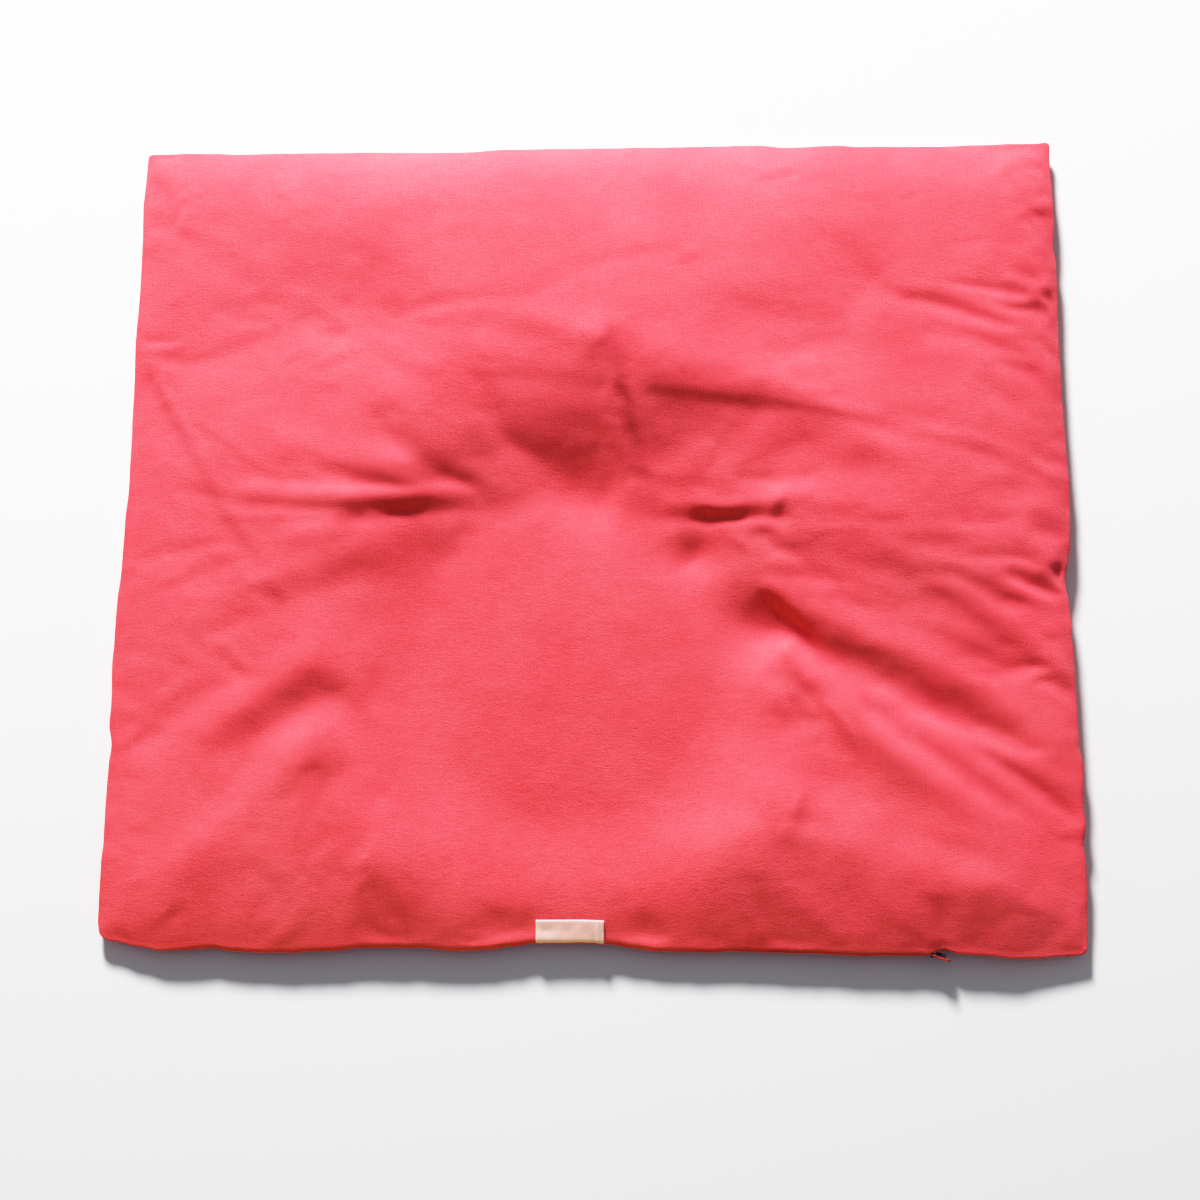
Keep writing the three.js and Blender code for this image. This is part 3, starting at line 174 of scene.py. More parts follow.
    Fold("fine_008", 1.89, 0.41, 1.47, 2.38, 18.5, 14.5, [(128.2, 25.8, 0.86, 7.4), (103.2, 43.4, 0.79, 8.5), (78.9, 46.1, 0.95, 7.5), (49.5, 49.8, 1.07, 6.7)]),
    Fold("fine_009", 2.48, 0.47, 1.82, 2.06, 17.5, 23.2, [(189.2, -90.6, 0.90, 3.8), (167.6, -69.9, 0.85, 4.2), (153.0, -49.3, 1.14, 4.6), (127.3, -33.5, 1.14, 4.5)]),
    Fold("fine_010", 0.82, 0.39, 1.96, 1.74, 13.2, 23.1, [(-200.0, 18.0, 0.89, 3.9), (-172.5, 19.7, 0.79, 4.1), (-150.0, 17.4, 0.80, 4.4), (-122.5, 18.8, 0.79, 4.3)]),
    Fold("fine_011", 1.53, 0.39, 1.24, 1.53, 18.4, 15.1, [(232.5, -13.5, 0.77, 5.5), (270.1, -11.2, 0.93, 4.9), (307.7, -13.2, 0.88, 5.2)]),
    Fold("fine_012", 0.73, 0.46, 1.65, 1.55, 10.7, 13.2, [(42.3, 106.7, 0.84, 3.7), (75.3, 104.0, 0.77, 3.7), (103.2, 101.3, 0.79, 3.6), (135.2, 93.1, 0.83, 3.4)]),
    Fold("fine_013", 1.34, 0.66, 2.56, 1.78, 13.5, 16.9, [(142.1, 95.7, 0.91, 4.5), (111.7, 103.1, 0.94, 4.8), (85.8, 106.7, 0.78, 4.9), (54.8, 111.1, 0.96, 4.3)]),
    Fold("fine_014", 1.09, 0.39, 1.31, 1.27, 21.0, 15.9, [(-125.0, 26.3, 0.83, 2.7), (-150.9, 27.6, 0.89, 2.5), (-171.7, 27.9, 0.88, 2.9), (-197.5, 29.4, 0.85, 3.2)]),
    Fold("fine_015", 0.89, 0.34, 1.81, 1.80, 20.3, 14.8, [(-35.0, 136.9, 0.81, 6.3), (-59.9, 143.1, 0.79, 6.6), (-79.5, 149.2, 0.81, 6.5), (-104.6, 154.8, 0.86, 6.3)]),
    Fold("fine_016", 2.65, 0.23, 2.45, 1.43, 21.5, 33.7, [(-91.8, 132.3, 0.90, 5.7), (-77.2, 110.7, 0.88, 6.7), (-66.3, 92.8, 1.22, 7.4), (-50.9, 71.9, 1.07, 7.1)]),
    Fold("fine_017", 4.37, 0.59, 1.71, 1.51, 20.2, 10.9, [(341.4, -94.0, 0.93, 4.8), (358.2, -111.8, 1.00, 4.9), (373.6, -130.9, 1.27, 5.3)]),
    Fold("fine_018", 2.70, 0.83, 1.46, 1.38, 10.5, 15.6, [(323.2, -6.0, 0.78, 5.5), (344.0, -24.6, 0.94, 5.2), (369.5, -35.9, 1.38, 5.0)]),
    Fold("fine_019", 1.79, 0.35, 1.58, 1.64, 13.5, 13.1, [(180.8, -69.8, 1.19, 6.0), (200.7, -82.0, 1.03, 6.2), (215.1, -93.2, 0.85, 6.6), (236.2, -103.3, 0.80, 6.6)]),
    Fold("fine_020", 1.74, 0.39, 1.52, 1.73, 14.0, 17.4, [(-167.9, 140.3, 0.97, 6.0), (-139.2, 126.5, 0.98, 6.1), (-110.0, 114.0, 0.87, 5.8)]),
    Fold("fine_021", 1.36, 0.56, 2.01, 1.74, 12.0, 11.3, [(192.4, 136.1, 0.89, 6.1), (166.1, 130.6, 0.85, 6.1), (140.0, 124.2, 0.86, 5.7)]),
    Fold("fine_022", 1.63, 0.52, 1.32, 1.66, 11.0, 10.0, [(82.0, 15.4, 0.92, 3.1), (104.4, 10.3, 0.89, 2.8), (127.2, 7.4, 0.80, 3.2)]),
    Fold("fine_023", 1.28, 0.37, 1.68, 1.56, 8.9, 8.6, [(259.7, 53.6, 0.86, 5.8), (240.1, 62.7, 0.76, 6.0), (219.7, 70.1, 0.87, 6.4)]),
    Fold("fine_024", 1.02, 0.48, 1.74, 1.55, 11.9, 10.2, [(137.7, 136.2, 0.76, 5.6), (163.4, 144.9, 0.81, 5.7), (189.9, 151.1, 0.89, 5.9)]),
    Fold("fine_025", 2.35, 0.43, 1.75, 1.18, 11.0, 8.3, [(181.6, -52.6, 1.00, 6.3), (166.5, -35.6, 1.03, 6.8), (152.9, -17.3, 0.94, 6.4)]),
    Fold("fine_026", 2.99, 0.67, 2.11, 1.28, 12.8, 8.5, [(182.7, 30.0, 0.81, 6.8), (161.4, 28.4, 0.94, 6.1), (140.2, 25.4, 1.31, 5.8)]),
    Fold("fine_027", 0.46, 0.47, 1.65, 1.72, 14.2, 14.2, [(57.6, 125.0, 0.84, 3.9), (81.4, 119.3, 0.74, 3.7), (100.7, 119.5, 0.75, 3.5), (125.0, 119.7, 0.84, 3.5)]),
    Fold("fine_028", 0.95, 0.45, 1.94, 1.47, 10.5, 10.2, [(-307.3, 145.9, 0.80, 6.3), (-282.7, 153.3, 0.77, 6.4), (-257.8, 159.2, 0.83, 6.0)]),
    Fold("fine_029", 1.44, 1.05, 2.44, 1.70, 14.0, 10.3, [(-254.9, 54.9, 0.80, 6.6), (-228.8, 53.2, 0.90, 7.3), (-202.6, 51.5, 0.98, 6.7)]),
    Fold("fine_030", 0.99, 0.45, 1.66, 1.58, 13.6, 12.7, [(-339.6, 37.6, 0.88, 3.5), (-307.9, 29.2, 0.85, 3.9), (-275.6, 23.5, 0.94, 3.9)]),
    Fold("fine_031", 0.71, 0.42, 2.14, 1.28, 17.2, 13.2, [(-375.5, -316.8, 0.74, 3.6), (-344.3, -310.6, 0.81, 3.9), (-312.5, -310.5, 0.89, 3.9)]),
    Fold("fine_032", 0.73, 0.50, 1.10, 1.66, 10.8, 9.8, [(122.7, 82.5, 0.77, 4.9), (102.7, 88.2, 0.72, 4.7), (82.7, 93.8, 0.76, 4.7)]),
    Fold("fine_033", 1.23, 0.35, 1.59, 1.73, 10.2, 12.5, [(304.1, 124.0, 0.84, 5.6), (324.7, 111.5, 0.89, 5.9), (345.3, 99.1, 0.83, 5.9)]),
    Fold("fine_034", 1.44, 0.60, 1.46, 1.74, 8.3, 7.9, [(-258.0, 147.4, 0.87, 5.6), (-277.6, 140.2, 0.84, 5.5), (-296.8, 132.3, 0.87, 5.3)]),
    Fold("fine_035", 2.48, 0.37, 1.58, 1.49, 8.6, 9.9, [(357.5, 172.2, 0.87, 3.1), (337.5, 173.3, 1.05, 2.9), (317.7, 176.1, 0.94, 3.1)]),
    Fold("fine_036", 2.05, 0.95, 2.18, 1.62, 6.9, 11.9, [(369.8, 197.5, 1.22, 3.8), (346.0, 199.2, 0.93, 4.3), (322.6, 203.6, 0.85, 4.4)]),
    Fold("fine_037", 1.06, 0.31, 1.84, 1.38, 27.0, 10.9, [(61.2, 39.0, 0.81, 3.5), (91.2, 34.0, 0.92, 3.6), (119.1, 21.6, 0.94, 3.9)]),
    Fold("fine_038", 0.67, 0.57, 1.61, 1.76, 12.3, 10.4, [(-153.2, 60.8, 0.74, 5.9), (-133.7, 73.7, 0.73, 6.0), (-114.9, 87.5, 0.80, 6.0)]),
    Fold("fine_039", 3.07, 0.41, 1.34, 1.97, 10.2, 10.1, [(355.1, 182.9, 1.06, 3.5), (336.6, 187.3, 1.06, 3.5), (317.9, 190.6, 0.89, 3.8)]),
    Fold("fine_040", 1.05, 0.81, 1.92, 1.64, 8.3, 7.8, [(-212.5, 66.8, 0.83, 6.9), (-233.6, 70.7, 0.79, 6.8), (-254.8, 74.2, 0.85, 6.9)]),
    Fold("fine_041", 0.87, 0.45, 1.56, 1.99, 9.5, 12.8, [(373.1, 245.0, 0.93, 3.8), (352.9, 230.4, 0.80, 3.8), (328.4, 225.2, 0.83, 3.8)]),
    Fold("fine_042", 2.97, 0.56, 1.77, 1.87, 7.8, 7.0, [(185.9, -118.6, 0.94, 5.6), (174.0, -104.8, 0.99, 5.7), (162.1, -90.9, 1.08, 6.6)]),
    Fold("fine_043", 1.21, 0.29, 1.44, 1.93, 8.9, 7.7, [(302.5, 146.6, 0.86, 5.7), (283.8, 146.9, 0.83, 5.6), (265.0, 147.1, 0.82, 5.7)]),
    Fold("fine_044", 1.01, 0.36, 1.55, 1.54, 8.0, 9.2, [(262.8, 164.6, 0.79, 5.5), (282.5, 161.0, 0.80, 5.5), (302.5, 159.6, 0.87, 5.5)]),
    Fold("fine_045", 1.23, 0.47, 2.05, 1.51, 7.0, 9.8, [(344.4, 84.8, 0.81, 6.0), (326.3, 91.5, 0.85, 6.0), (308.0, 97.5, 0.84, 5.6)]),
    Fold("fine_046", 0.76, 0.48, 1.79, 1.68, 9.8, 11.2, [(292.8, 31.5, 0.81, 4.2), (320.7, 32.3, 0.79, 4.1), (347.4, 40.0, 0.88, 3.6)]),
    Fold("fine_047", 1.03, 0.24, 1.45, 1.67, 8.6, 7.9, [(-322.8, -36.1, 0.81, 5.5), (-301.8, -31.6, 0.81, 5.3), (-280.4, -29.3, 0.89, 5.2)]),
    Fold("fine_048", 1.93, 0.46, 1.75, 1.92, 9.8, 6.8, [(-273.6, 196.6, 0.89, 6.3), (-254.1, 186.8, 0.95, 7.3), (-234.6, 176.9, 1.12, 7.4)]),
    Fold("fine_049", 0.93, 0.33, 1.48, 1.80, 12.9, 11.0, [(296.2, -111.9, 0.89, 3.7), (320.8, -110.9, 0.89, 3.7), (342.5, -99.8, 0.84, 3.9)]),
    Fold("fine_050", 1.83, 0.15, 1.43, 1.42, 12.8, 12.8, [(320.2, 136.3, 0.88, 3.3), (342.3, 129.3, 1.06, 3.6), (364.2, 121.6, 1.00, 3.5)]),
    Fold("fine_051", 1.18, 0.32, 1.73, 1.56, 8.0, 8.4, [(240.4, 97.2, 0.87, 5.8), (261.1, 90.5, 0.87, 5.5), (282.3, 86.1, 0.89, 5.9)]),
    Fold("fine_052", 1.16, 0.21, 1.62, 2.05, 9.1, 7.1, [(-284.9, -45.0, 0.82, 6.3), (-301.8, -51.7, 0.84, 6.3), (-319.6, -55.0, 0.87, 6.1)]),
    Fold("fine_053", 1.79, 0.47, 1.48, 1.34, 8.6, 7.2, [(132.5, 286.7, 0.95, 4.5), (151.7, 292.5, 0.95, 4.3), (170.2, 300.5, 0.94, 4.6)]),
    Fold("fine_054", 1.72, 0.38, 1.07, 1.65, 9.6, 7.6, [(-332.5, 152.0, 0.87, 2.9), (-351.3, 152.3, 0.98, 2.8), (-370.1, 151.2, 1.01, 3.0)]),
    Fold("fine_055", 2.47, 0.23, 1.26, 2.05, 7.7, 6.1, [(-342.2, 249.2, 0.92, 6.4), (-358.6, 251.3, 1.00, 6.2), (-374.9, 253.3, 1.02, 5.7)]),
    Fold("fine_056", 1.03, 0.57, 1.71, 1.51, 6.1, 8.4, [(346.8, 201.2, 0.90, 5.4), (358.3, 215.4, 0.82, 5.6), (370.5, 229.0, 0.80, 5.8)]),
    Fold("fine_057", 3.08, 0.58, 1.65, 1.85, 4.1, 6.0, [(358.7, 319.6, 1.40, 6.8), (343.6, 312.9, 1.03, 7.3), (327.6, 309.3, 0.84, 6.9)]),
    Fold("fine_058", 0.87, 0.67, 1.91, 1.38, 6.9, 8.5, [(332.5, 47.9, 0.85, 5.2), (316.1, 47.6, 0.78, 5.4), (299.9, 45.7, 0.74, 5.4)]),
    Fold("fine_059", 1.20, 0.13, 1.88, 2.02, 11.7, 7.6, [(176.6, -93.0, 0.81, 3.0), (160.7, -78.0, 0.90, 3.2), (142.8, -65.3, 1.06, 3.1)]),
    Fold("fine_060", 1.38, 0.38, 1.52, 1.25, 8.2, 8.4, [(311.4, -69.0, 0.85, 5.2), (324.0, -81.0, 1.00, 5.4), (336.9, -92.6, 0.86, 5.3)]),
    Fold("fine_061", 1.96, 0.14, 1.91, 1.01, 9.9, 9.3, [(-140.9, 87.9, 0.85, 6.5), (-155.1, 80.2, 1.04, 7.9), (-169.9, 73.6, 0.96, 7.2)]),
    Fold("fine_062", 1.20, 0.65, 2.03, 1.71, 9.8, 9.0, [(26.4, 50.4, 0.90, 2.8), (44.3, 42.9, 0.90, 2.8), (62.1, 35.6, 0.94, 2.5)]),
    Fold("fine_063", 1.34, 0.40, 2.16, 1.74, 9.8, 10.2, [(-68.9, 66.8, 0.95, 3.9), (-80.3, 80.9, 0.93, 4.4), (-93.2, 93.8, 0.90, 4.1)]),
    Fold("fine_064", 1.11, 0.80, 1.47, 1.79, 8.9, 10.4, [(-373.3, 135.5, 0.94, 3.7), (-354.0, 130.3, 0.95, 4.0), (-334.9, 124.5, 0.91, 3.9)]),
    Fold("fine_065", 2.04, 0.65, 1.72, 1.94, 8.7, 5.2, [(365.3, -282.4, 0.97, 4.3), (366.6, -299.9, 1.04, 3.9), (370.6, -317.0, 1.14, 3.5)]),
    Fold("fine_066", 3.19, 1.09, 1.35, 1.71, 4.9, 23.4, [(151.6, -91.1, 1.85, 2.5), (158.7, -111.3, 1.09, 3.2), (171.0, -128.8, 0.88, 2.9)]),
    Fold("fine_067", 0.80, 0.47, 1.46, 1.70, 7.4, 7.1, [(320.0, -122.4, 0.86, 3.4), (302.6, -119.8, 0.82, 3.4), (285.1, -118.5, 0.85, 3.4)]),
    Fold("fine_068", 2.09, 0.63, 2.13, 1.68, 7.6, 12.8, [(184.7, 0.7, 1.15, 4.5), (168.6, 5.9, 1.07, 4.2), (152.6, 11.2, 0.84, 3.6)]),
    Fold("fine_069", 0.83, 0.47, 1.73, 1.50, 7.7, 8.6, [(284.7, 231.9, 0.90, 3.6), (304.8, 234.4, 0.86, 3.3), (325.0, 235.3, 0.84, 3.3)]),
    Fold("fine_070", 2.26, 0.14, 1.53, 3.97, 11.5, 24.0, [(-250.8, -114.8, 0.91, 6.6), (-278.5, -131.9, 0.91, 7.3), (-301.1, -147.7, 1.05, 8.0), (-324.0, -163.0, 0.86, 8.6), (-351.8, -180.0, 0.83, 7.7)]),
    Fold("fine_071", 2.27, 0.61, 1.54, 1.69, 7.7, 12.5, [(144.9, -236.8, 1.09, 5.4), (169.2, -250.4, 0.79, 7.3), (192.3, -259.0, 0.94, 8.3), (209.3, -275.1, 1.33, 8.6), (223.0, -295.1, 0.77, 7.7), (244.8, -313.5, 0.83, 6.1)]),
    Fold("fine_072", 2.36, 0.09, 1.64, 2.26, 29.4, 13.6, [(238.6, -271.1, 0.76, 6.2), (219.1, -252.5, 0.72, 6.9), (200.8, -242.1, 1.00, 8.9), (180.2, -237.4, 1.08, 8.3), (156.4, -228.0, 1.16, 6.3)]),
    Fold("fine_073", 1.52, 0.04, 1.60, 2.45, 12.2, 18.9, [(-362.6, -173.9, 1.02, 6.8), (-340.4, -157.1, 0.86, 6.4), (-322.8, -142.3, 0.77, 7.3), (-304.9, -128.1, 0.87, 6.3), (-280.3, -114.6, 0.83, 6.4)]),
    Fold("fine_074", 2.55, 0.46, 1.07, 1.59, 17.1, 16.5, [(263.8, -186.0, 0.89, 7.2), (238.2, -170.2, 0.98, 6.6), (220.2, -152.7, 1.02, 6.0), (197.9, -132.9, 0.95, 5.2)]),
    Fold("fine_075", 1.59, 0.12, 1.78, 2.17, 19.4, 26.9, [(134.4, -49.4, 1.21, 4.0), (157.7, -67.7, 1.34, 4.1), (176.3, -83.8, 0.80, 4.3), (198.8, -94.0, 0.70, 4.0), (225.7, -106.4, 0.73, 3.8)]),
    Fold("fine_076", 2.68, 0.32, 1.69, 1.67, 19.5, 17.6, [(211.1, -129.6, 0.81, 5.7), (232.8, -146.4, 0.86, 6.0), (250.9, -159.0, 1.14, 6.3), (270.9, -168.8, 1.03, 6.9), (295.5, -180.5, 1.02, 6.8)]),
    Fold("fine_077", 4.12, 0.52, 2.12, 1.89, 19.5, 26.2, [(325.2, -229.8, 0.81, 7.8), (302.1, -213.2, 0.91, 6.9), (285.1, -197.1, 1.38, 8.0), (261.5, -181.4, 1.18, 7.5)]),
    Fold("fine_078", 1.70, 0.21, 1.36, 2.18, 21.0, 10.8, [(-219.9, -324.2, 0.75, 7.6), (-208.4, -296.8, 0.72, 7.3), (-203.8, -272.7, 1.20, 7.8), (-211.2, -242.4, 1.08, 6.3)]),
    Fold("fine_079", 2.48, 0.48, 2.12, 1.58, 22.9, 23.9, [(332.5, -294.4, 1.01, 7.1), (300.0, -293.4, 0.97, 7.6), (267.5, -292.2, 0.86, 5.7)]),
    Fold("fine_080", 2.15, 0.05, 1.65, 2.12, 16.6, 25.8, [(-294.0, -165.4, 0.85, 7.9), (-271.1, -152.0, 1.01, 9.2), (-254.4, -138.4, 0.96, 8.4), (-233.5, -122.1, 0.93, 6.8)]),
    Fold("fine_081", 2.98, 0.13, 1.55, 2.19, 13.7, 23.2, [(362.6, -226.4, 0.62, 5.7), (343.7, -209.8, 1.12, 7.1), (328.2, -196.7, 1.05, 9.5), (306.6, -183.6, 1.28, 9.4)]),
    Fold("fine_082", 1.87, 0.49, 1.43, 1.76, 22.3, 14.7, [(245.5, -226.0, 0.80, 6.0), (270.6, -239.7, 0.87, 6.3), (293.2, -246.1, 1.08, 6.7), (319.8, -256.4, 0.96, 6.8)]),
    Fold("fine_083", 0.99, 0.50, 1.56, 1.64, 14.9, 17.5, [(298.8, -163.7, 0.88, 3.4), (270.6, -154.2, 0.85, 3.4), (248.3, -143.8, 0.89, 3.6), (222.5, -128.9, 0.87, 3.6)]),
    Fold("fine_084", 2.59, 0.62, 1.66, 1.44, 12.5, 9.3, [(-214.2, -283.7, 0.92, 4.4), (-229.5, -305.0, 0.84, 4.2), (-249.5, -322.2, 1.09, 4.7)]),
    Fold("fine_085", 1.94, 0.81, 2.61, 1.79, 16.1, 16.8, [(277.5, -279.2, 0.77, 7.2), (308.7, -278.5, 1.03, 7.8), (340.0, -278.0, 0.91, 6.9)]),
    Fold("fine_086", 0.62, 0.50, 2.12, 1.56, 15.3, 17.1, [(280.0, -315.1, 0.90, 3.6), (307.5, -311.2, 0.79, 3.9), (330.5, -312.8, 0.78, 4.0), (356.6, -301.2, 0.83, 4.0)]),
    Fold("fine_087", 1.43, 0.35, 1.65, 1.86, 17.1, 15.0, [(278.2, -174.9, 0.97, 3.4), (302.7, -194.1, 0.93, 3.7), (323.1, -210.5, 0.93, 4.3), (348.9, -228.1, 0.90, 4.1)]),
    Fold("fine_088", 2.41, 0.61, 1.46, 2.85, 30.1, 8.1, [(-254.2, -17.8, 0.91, 7.8), (-222.3, -17.2, 1.11, 9.1), (-191.6, -8.6, 1.03, 8.1)]),
    Fold("fine_089", 0.74, 0.17, 1.74, 1.38, 12.9, 8.4, [(367.6, -312.7, 0.71, 5.6), (357.1, -285.5, 0.69, 5.5), (349.1, -257.5, 0.84, 5.7)]),
    Fold("fine_090", 1.35, 0.49, 1.17, 1.37, 17.5, 15.6, [(144.0, -323.6, 0.72, 4.6), (134.3, -302.1, 0.85, 4.2), (120.2, -283.1, 0.86, 4.7)]),
    Fold("fine_091", 1.36, 0.22, 1.61, 1.64, 12.7, 14.7, [(79.9, 17.5, 0.85, 6.2), (104.8, 12.5, 0.85, 6.4), (130.0, 10.0, 0.78, 6.2)]),
    Fold("fine_092", 1.44, 0.62, 1.55, 1.56, 14.0, 14.5, [(228.8, -118.9, 0.92, 3.8), (250.9, -131.7, 0.88, 3.8), (269.0, -141.1, 1.03, 3.7), (291.3, -153.4, 0.96, 3.3)]),
    Fold("fine_093", 2.00, 0.35, 1.58, 1.14, 19.4, 13.9, [(-214.6, -242.5, 0.99, 4.2), (-212.5, -210.1, 1.08, 4.5), (-212.7, -177.6, 0.90, 5.0)]),
    Fold("fine_094", 1.62, 0.56, 1.54, 1.22, 13.2, 12.7, [(-119.3, -320.3, 0.83, 5.2), (-142.0, -313.0, 0.88, 5.2), (-162.0, -300.3, 0.89, 5.7)]),
    Fold("fine_095", 2.71, 0.92, 4.00, 1.49, 14.5, 35.8, [(-178.9, -256.8, 1.73, 7.1), (-156.2, -276.3, 1.47, 10.4), (-138.3, -293.6, 0.71, 5.9), (-114.2, -311.2, 0.73, 4.1)]),
    Fold("fine_096", 1.60, 0.40, 2.00, 1.76, 12.3, 9.6, [(-217.8, -277.1, 0.89, 5.9), (-231.2, -257.4, 0.91, 5.8), (-244.6, -237.8, 0.90, 6.3)]),
    Fold("fine_097", 0.82, 0.42, 1.65, 1.70, 9.0, 9.7, [(-360.0, -277.5, 0.83, 6.3), (-364.2, -297.2, 0.76, 6.3), (-366.7, -317.3, 0.74, 6.0)]),
    Fold("fine_098", 1.21, 0.47, 1.90, 1.56, 9.7, 6.0, [(-164.3, 11.4, 0.91, 3.0), (-143.1, 16.2, 0.80, 3.3), (-123.2, 25.2, 0.81, 3.5)]),
    Fold("fine_099", 3.07, 0.67, 1.82, 2.36, 11.1, 14.0, [(160.6, -160.0, 0.97, 7.0), (160.7, -140.0, 1.05, 7.4), (161.1, -120.0, 1.04, 7.5)]),
    Fold("fine_100", 1.92, 0.35, 1.57, 1.70, 12.5, 9.5, [(120.1, 26.1, 0.81, 5.3), (100.1, 28.0, 0.97, 5.2), (80.0, 27.3, 1.08, 5.9)]),
    Fold("fine_101", 1.75, 0.48, 1.86, 1.95, 5.1, 18.7, [(-173.7, -269.8, 1.11, 5.1), (-178.9, -289.9, 0.97, 4.5), (-182.3, -310.5, 0.83, 3.9)]),
    Fold("fine_102", 1.07, 0.43, 1.64, 1.55, 9.9, 12.3, [(285.1, 4.3, 0.90, 3.7), (311.5, 5.4, 0.88, 3.7), (337.4, 11.0, 0.94, 3.5)]),
    Fold("fine_103", 1.62, 0.67, 2.01, 1.70, 7.5, 9.3, [(5.3, 150.1, 1.00, 3.7), (10.1, 130.4, 0.89, 3.9), (10.8, 110.1, 0.97, 3.9)]),
    Fold("fine_104", 1.21, 0.18, 1.50, 1.43, 13.0, 11.4, [(-369.3, -25.1, 0.97, 3.2), (-346.6, -15.3, 1.01, 3.9), (-322.7, -9.0, 0.88, 4.2)]),
    Fold("fine_105", 0.71, 0.17, 1.72, 1.77, 11.6, 13.0, [(293.9, -166.2, 0.93, 2.5), (318.7, -180.1, 0.84, 2.6), (344.0, -193.1, 0.85, 2.6)]),
    Fold("fine_106", 1.15, 0.47, 1.47, 1.66, 8.0, 7.2, [(-285.3, -206.7, 0.87, 5.9), (-273.2, -191.9, 0.86, 5.7), (-261.0, -177.1, 0.87, 5.6)]),
    Fold("fine_107", 1.62, 0.53, 1.55, 1.94, 6.9, 7.9, [(325.8, -48.1, 1.03, 3.3), (344.7, -59.5, 1.03, 3.8), (366.7, -62.6, 0.86, 4.6)]),
    Fold("fine_108", 0.87, 0.57, 1.45, 1.63, 6.6, 5.5, [(-227.9, -134.9, 0.79, 5.4), (-238.3, -147.7, 0.77, 5.3), (-248.4, -160.9, 0.79, 5.1)]),
    Fold("fine_109", 1.58, 0.57, 2.14, 1.60, 9.4, 6.6, [(40.2, 53.5, 0.94, 3.8), (31.2, 68.9, 0.92, 3.7), (27.1, 86.4, 1.03, 3.9)]),
    Fold("fine_110", 1.44, 0.56, 1.76, 1.63, 8.9, 8.8, [(257.6, -32.3, 0.94, 3.8), (277.4, -35.3, 0.97, 3.7), (297.5, -34.2, 1.07, 3.6)]),
    Fold("fine_111", 0.86, 0.33, 1.53, 1.85, 10.4, 8.5, [(-308.9, -113.9, 0.84, 3.6), (-324.9, -125.1, 0.85, 3.8), (-341.2, -135.9, 0.90, 3.7)]),
    Fold("fine_112", 1.41, 0.62, 1.60, 1.68, 7.7, 6.8, [(369.0, -237.6, 0.85, 6.2), (368.3, -221.3, 0.88, 6.2), (366.8, -205.0, 0.95, 5.7)]),
    Fold("fine_113", 1.51, 0.54, 1.36, 2.01, 7.3, 7.6, [(122.7, 98.1, 0.90, 5.9), (136.5, 107.7, 0.94, 5.8), (151.4, 115.5, 0.98, 5.4)]),
    Fold("fine_114", 1.34, 0.46, 1.80, 1.75, 9.3, 5.0, [(345.7, 275.0, 0.95, 5.9), (357.9, 266.8, 0.94, 5.9), (369.9, 258.2, 0.85, 6.2)]),
    Fold("fine_115", 0.87, 0.38, 1.52, 1.67, 6.0, 6.2, [(-251.6, -191.3, 0.79, 5.5), (-260.6, -201.9, 0.79, 5.5), (-270.3, -211.7, 0.81, 5.5)]),
    Fold("fine_116", 1.32, 0.50, 1.52, 1.58, 4.5, 6.1, [(153.4, -277.9, 0.88, 6.4), (145.8, -266.1, 0.90, 6.2), (138.9, -253.9, 0.82, 6.0)]),
    Fold("fine_117", 1.14, 0.48, 1.82, 1.50, 8.6, 9.5, [(177.6, 11.6, 1.05, 3.7), (197.6, 12.5, 0.96, 3.8), (217.4, 16.2, 0.90, 3.6)]),
    Fold("fine_118", 2.10, 0.47, 2.23, 1.39, 4.0, 6.7, [(39.2, 132.5, 1.14, 7.8), (41.8, 120.0, 0.91, 6.8), (39.1, 107.2, 0.86, 6.1)]),
    Fold("fine_119", 1.44, 0.20, 1.84, 1.84, 16.9, 7.4, [(138.8, -306.4, 0.90, 4.5), (156.4, -316.8, 1.03, 4.6), (176.3, -321.8, 1.06, 3.9)]),
    Fold("fine_120", 2.33, 0.51, 3.33, 1.79, 6.8, 8.6, [(-374.1, 302.8, 1.56, 5.9), (-358.1, 291.5, 1.09, 6.5), (-341.3, 281.5, 0.84, 5.1)]),
    Fold("fine_121", 1.55, 0.17, 1.46, 2.91, 8.7, 6.4, [(202.7, -186.2, 0.76, 3.9), (188.5, -177.1, 1.00, 4.4), (174.2, -168.3, 1.10, 4.2)]),
    Fold("fine_122", 1.59, 0.40, 2.01, 1.54, 7.4, 6.0, [(112.5, 37.4, 0.93, 4.2), (128.8, 38.8, 0.98, 3.8), (145.0, 39.8, 0.99, 3.4)]),
    Fold("fine_123", 1.57, 0.62, 1.50, 1.78, 6.3, 5.2, [(178.4, 80.3, 0.92, 5.6), (184.0, 94.3, 0.95, 5.9), (191.9, 107.2, 1.01, 6.0)]),
    Fold("fine_124", 1.39, 0.19, 1.70, 1.69, 10.8, 8.1, [(372.4, 235.1, 1.06, 2.5), (361.5, 251.1, 1.08, 2.5), (347.5, 264.5, 0.94, 2.5)]),
    Fold("fine_125", 0.96, 0.51, 1.77, 1.69, 7.4, 6.3, [(356.2, -74.2, 0.85, 3.8), (344.8, -85.1, 0.86, 4.0), (336.5, -98.4, 0.91, 3.7)]),
    Fold("fine_126", 1.08, 0.47, 1.43, 1.84, 8.6, 5.7, [(343.8, -95.1, 0.87, 3.6), (337.8, -108.9, 0.88, 3.7), (331.2, -122.3, 0.90, 3.7)]),
    Fold("fine_127", 0.51, 0.38, 1.78, 1.97, 8.8, 9.3, [(-256.0, -256.4, 0.79, 4.3), (-241.4, -268.9, 0.78, 4.3), (-225.8, -280.2, 0.83, 3.9)]),
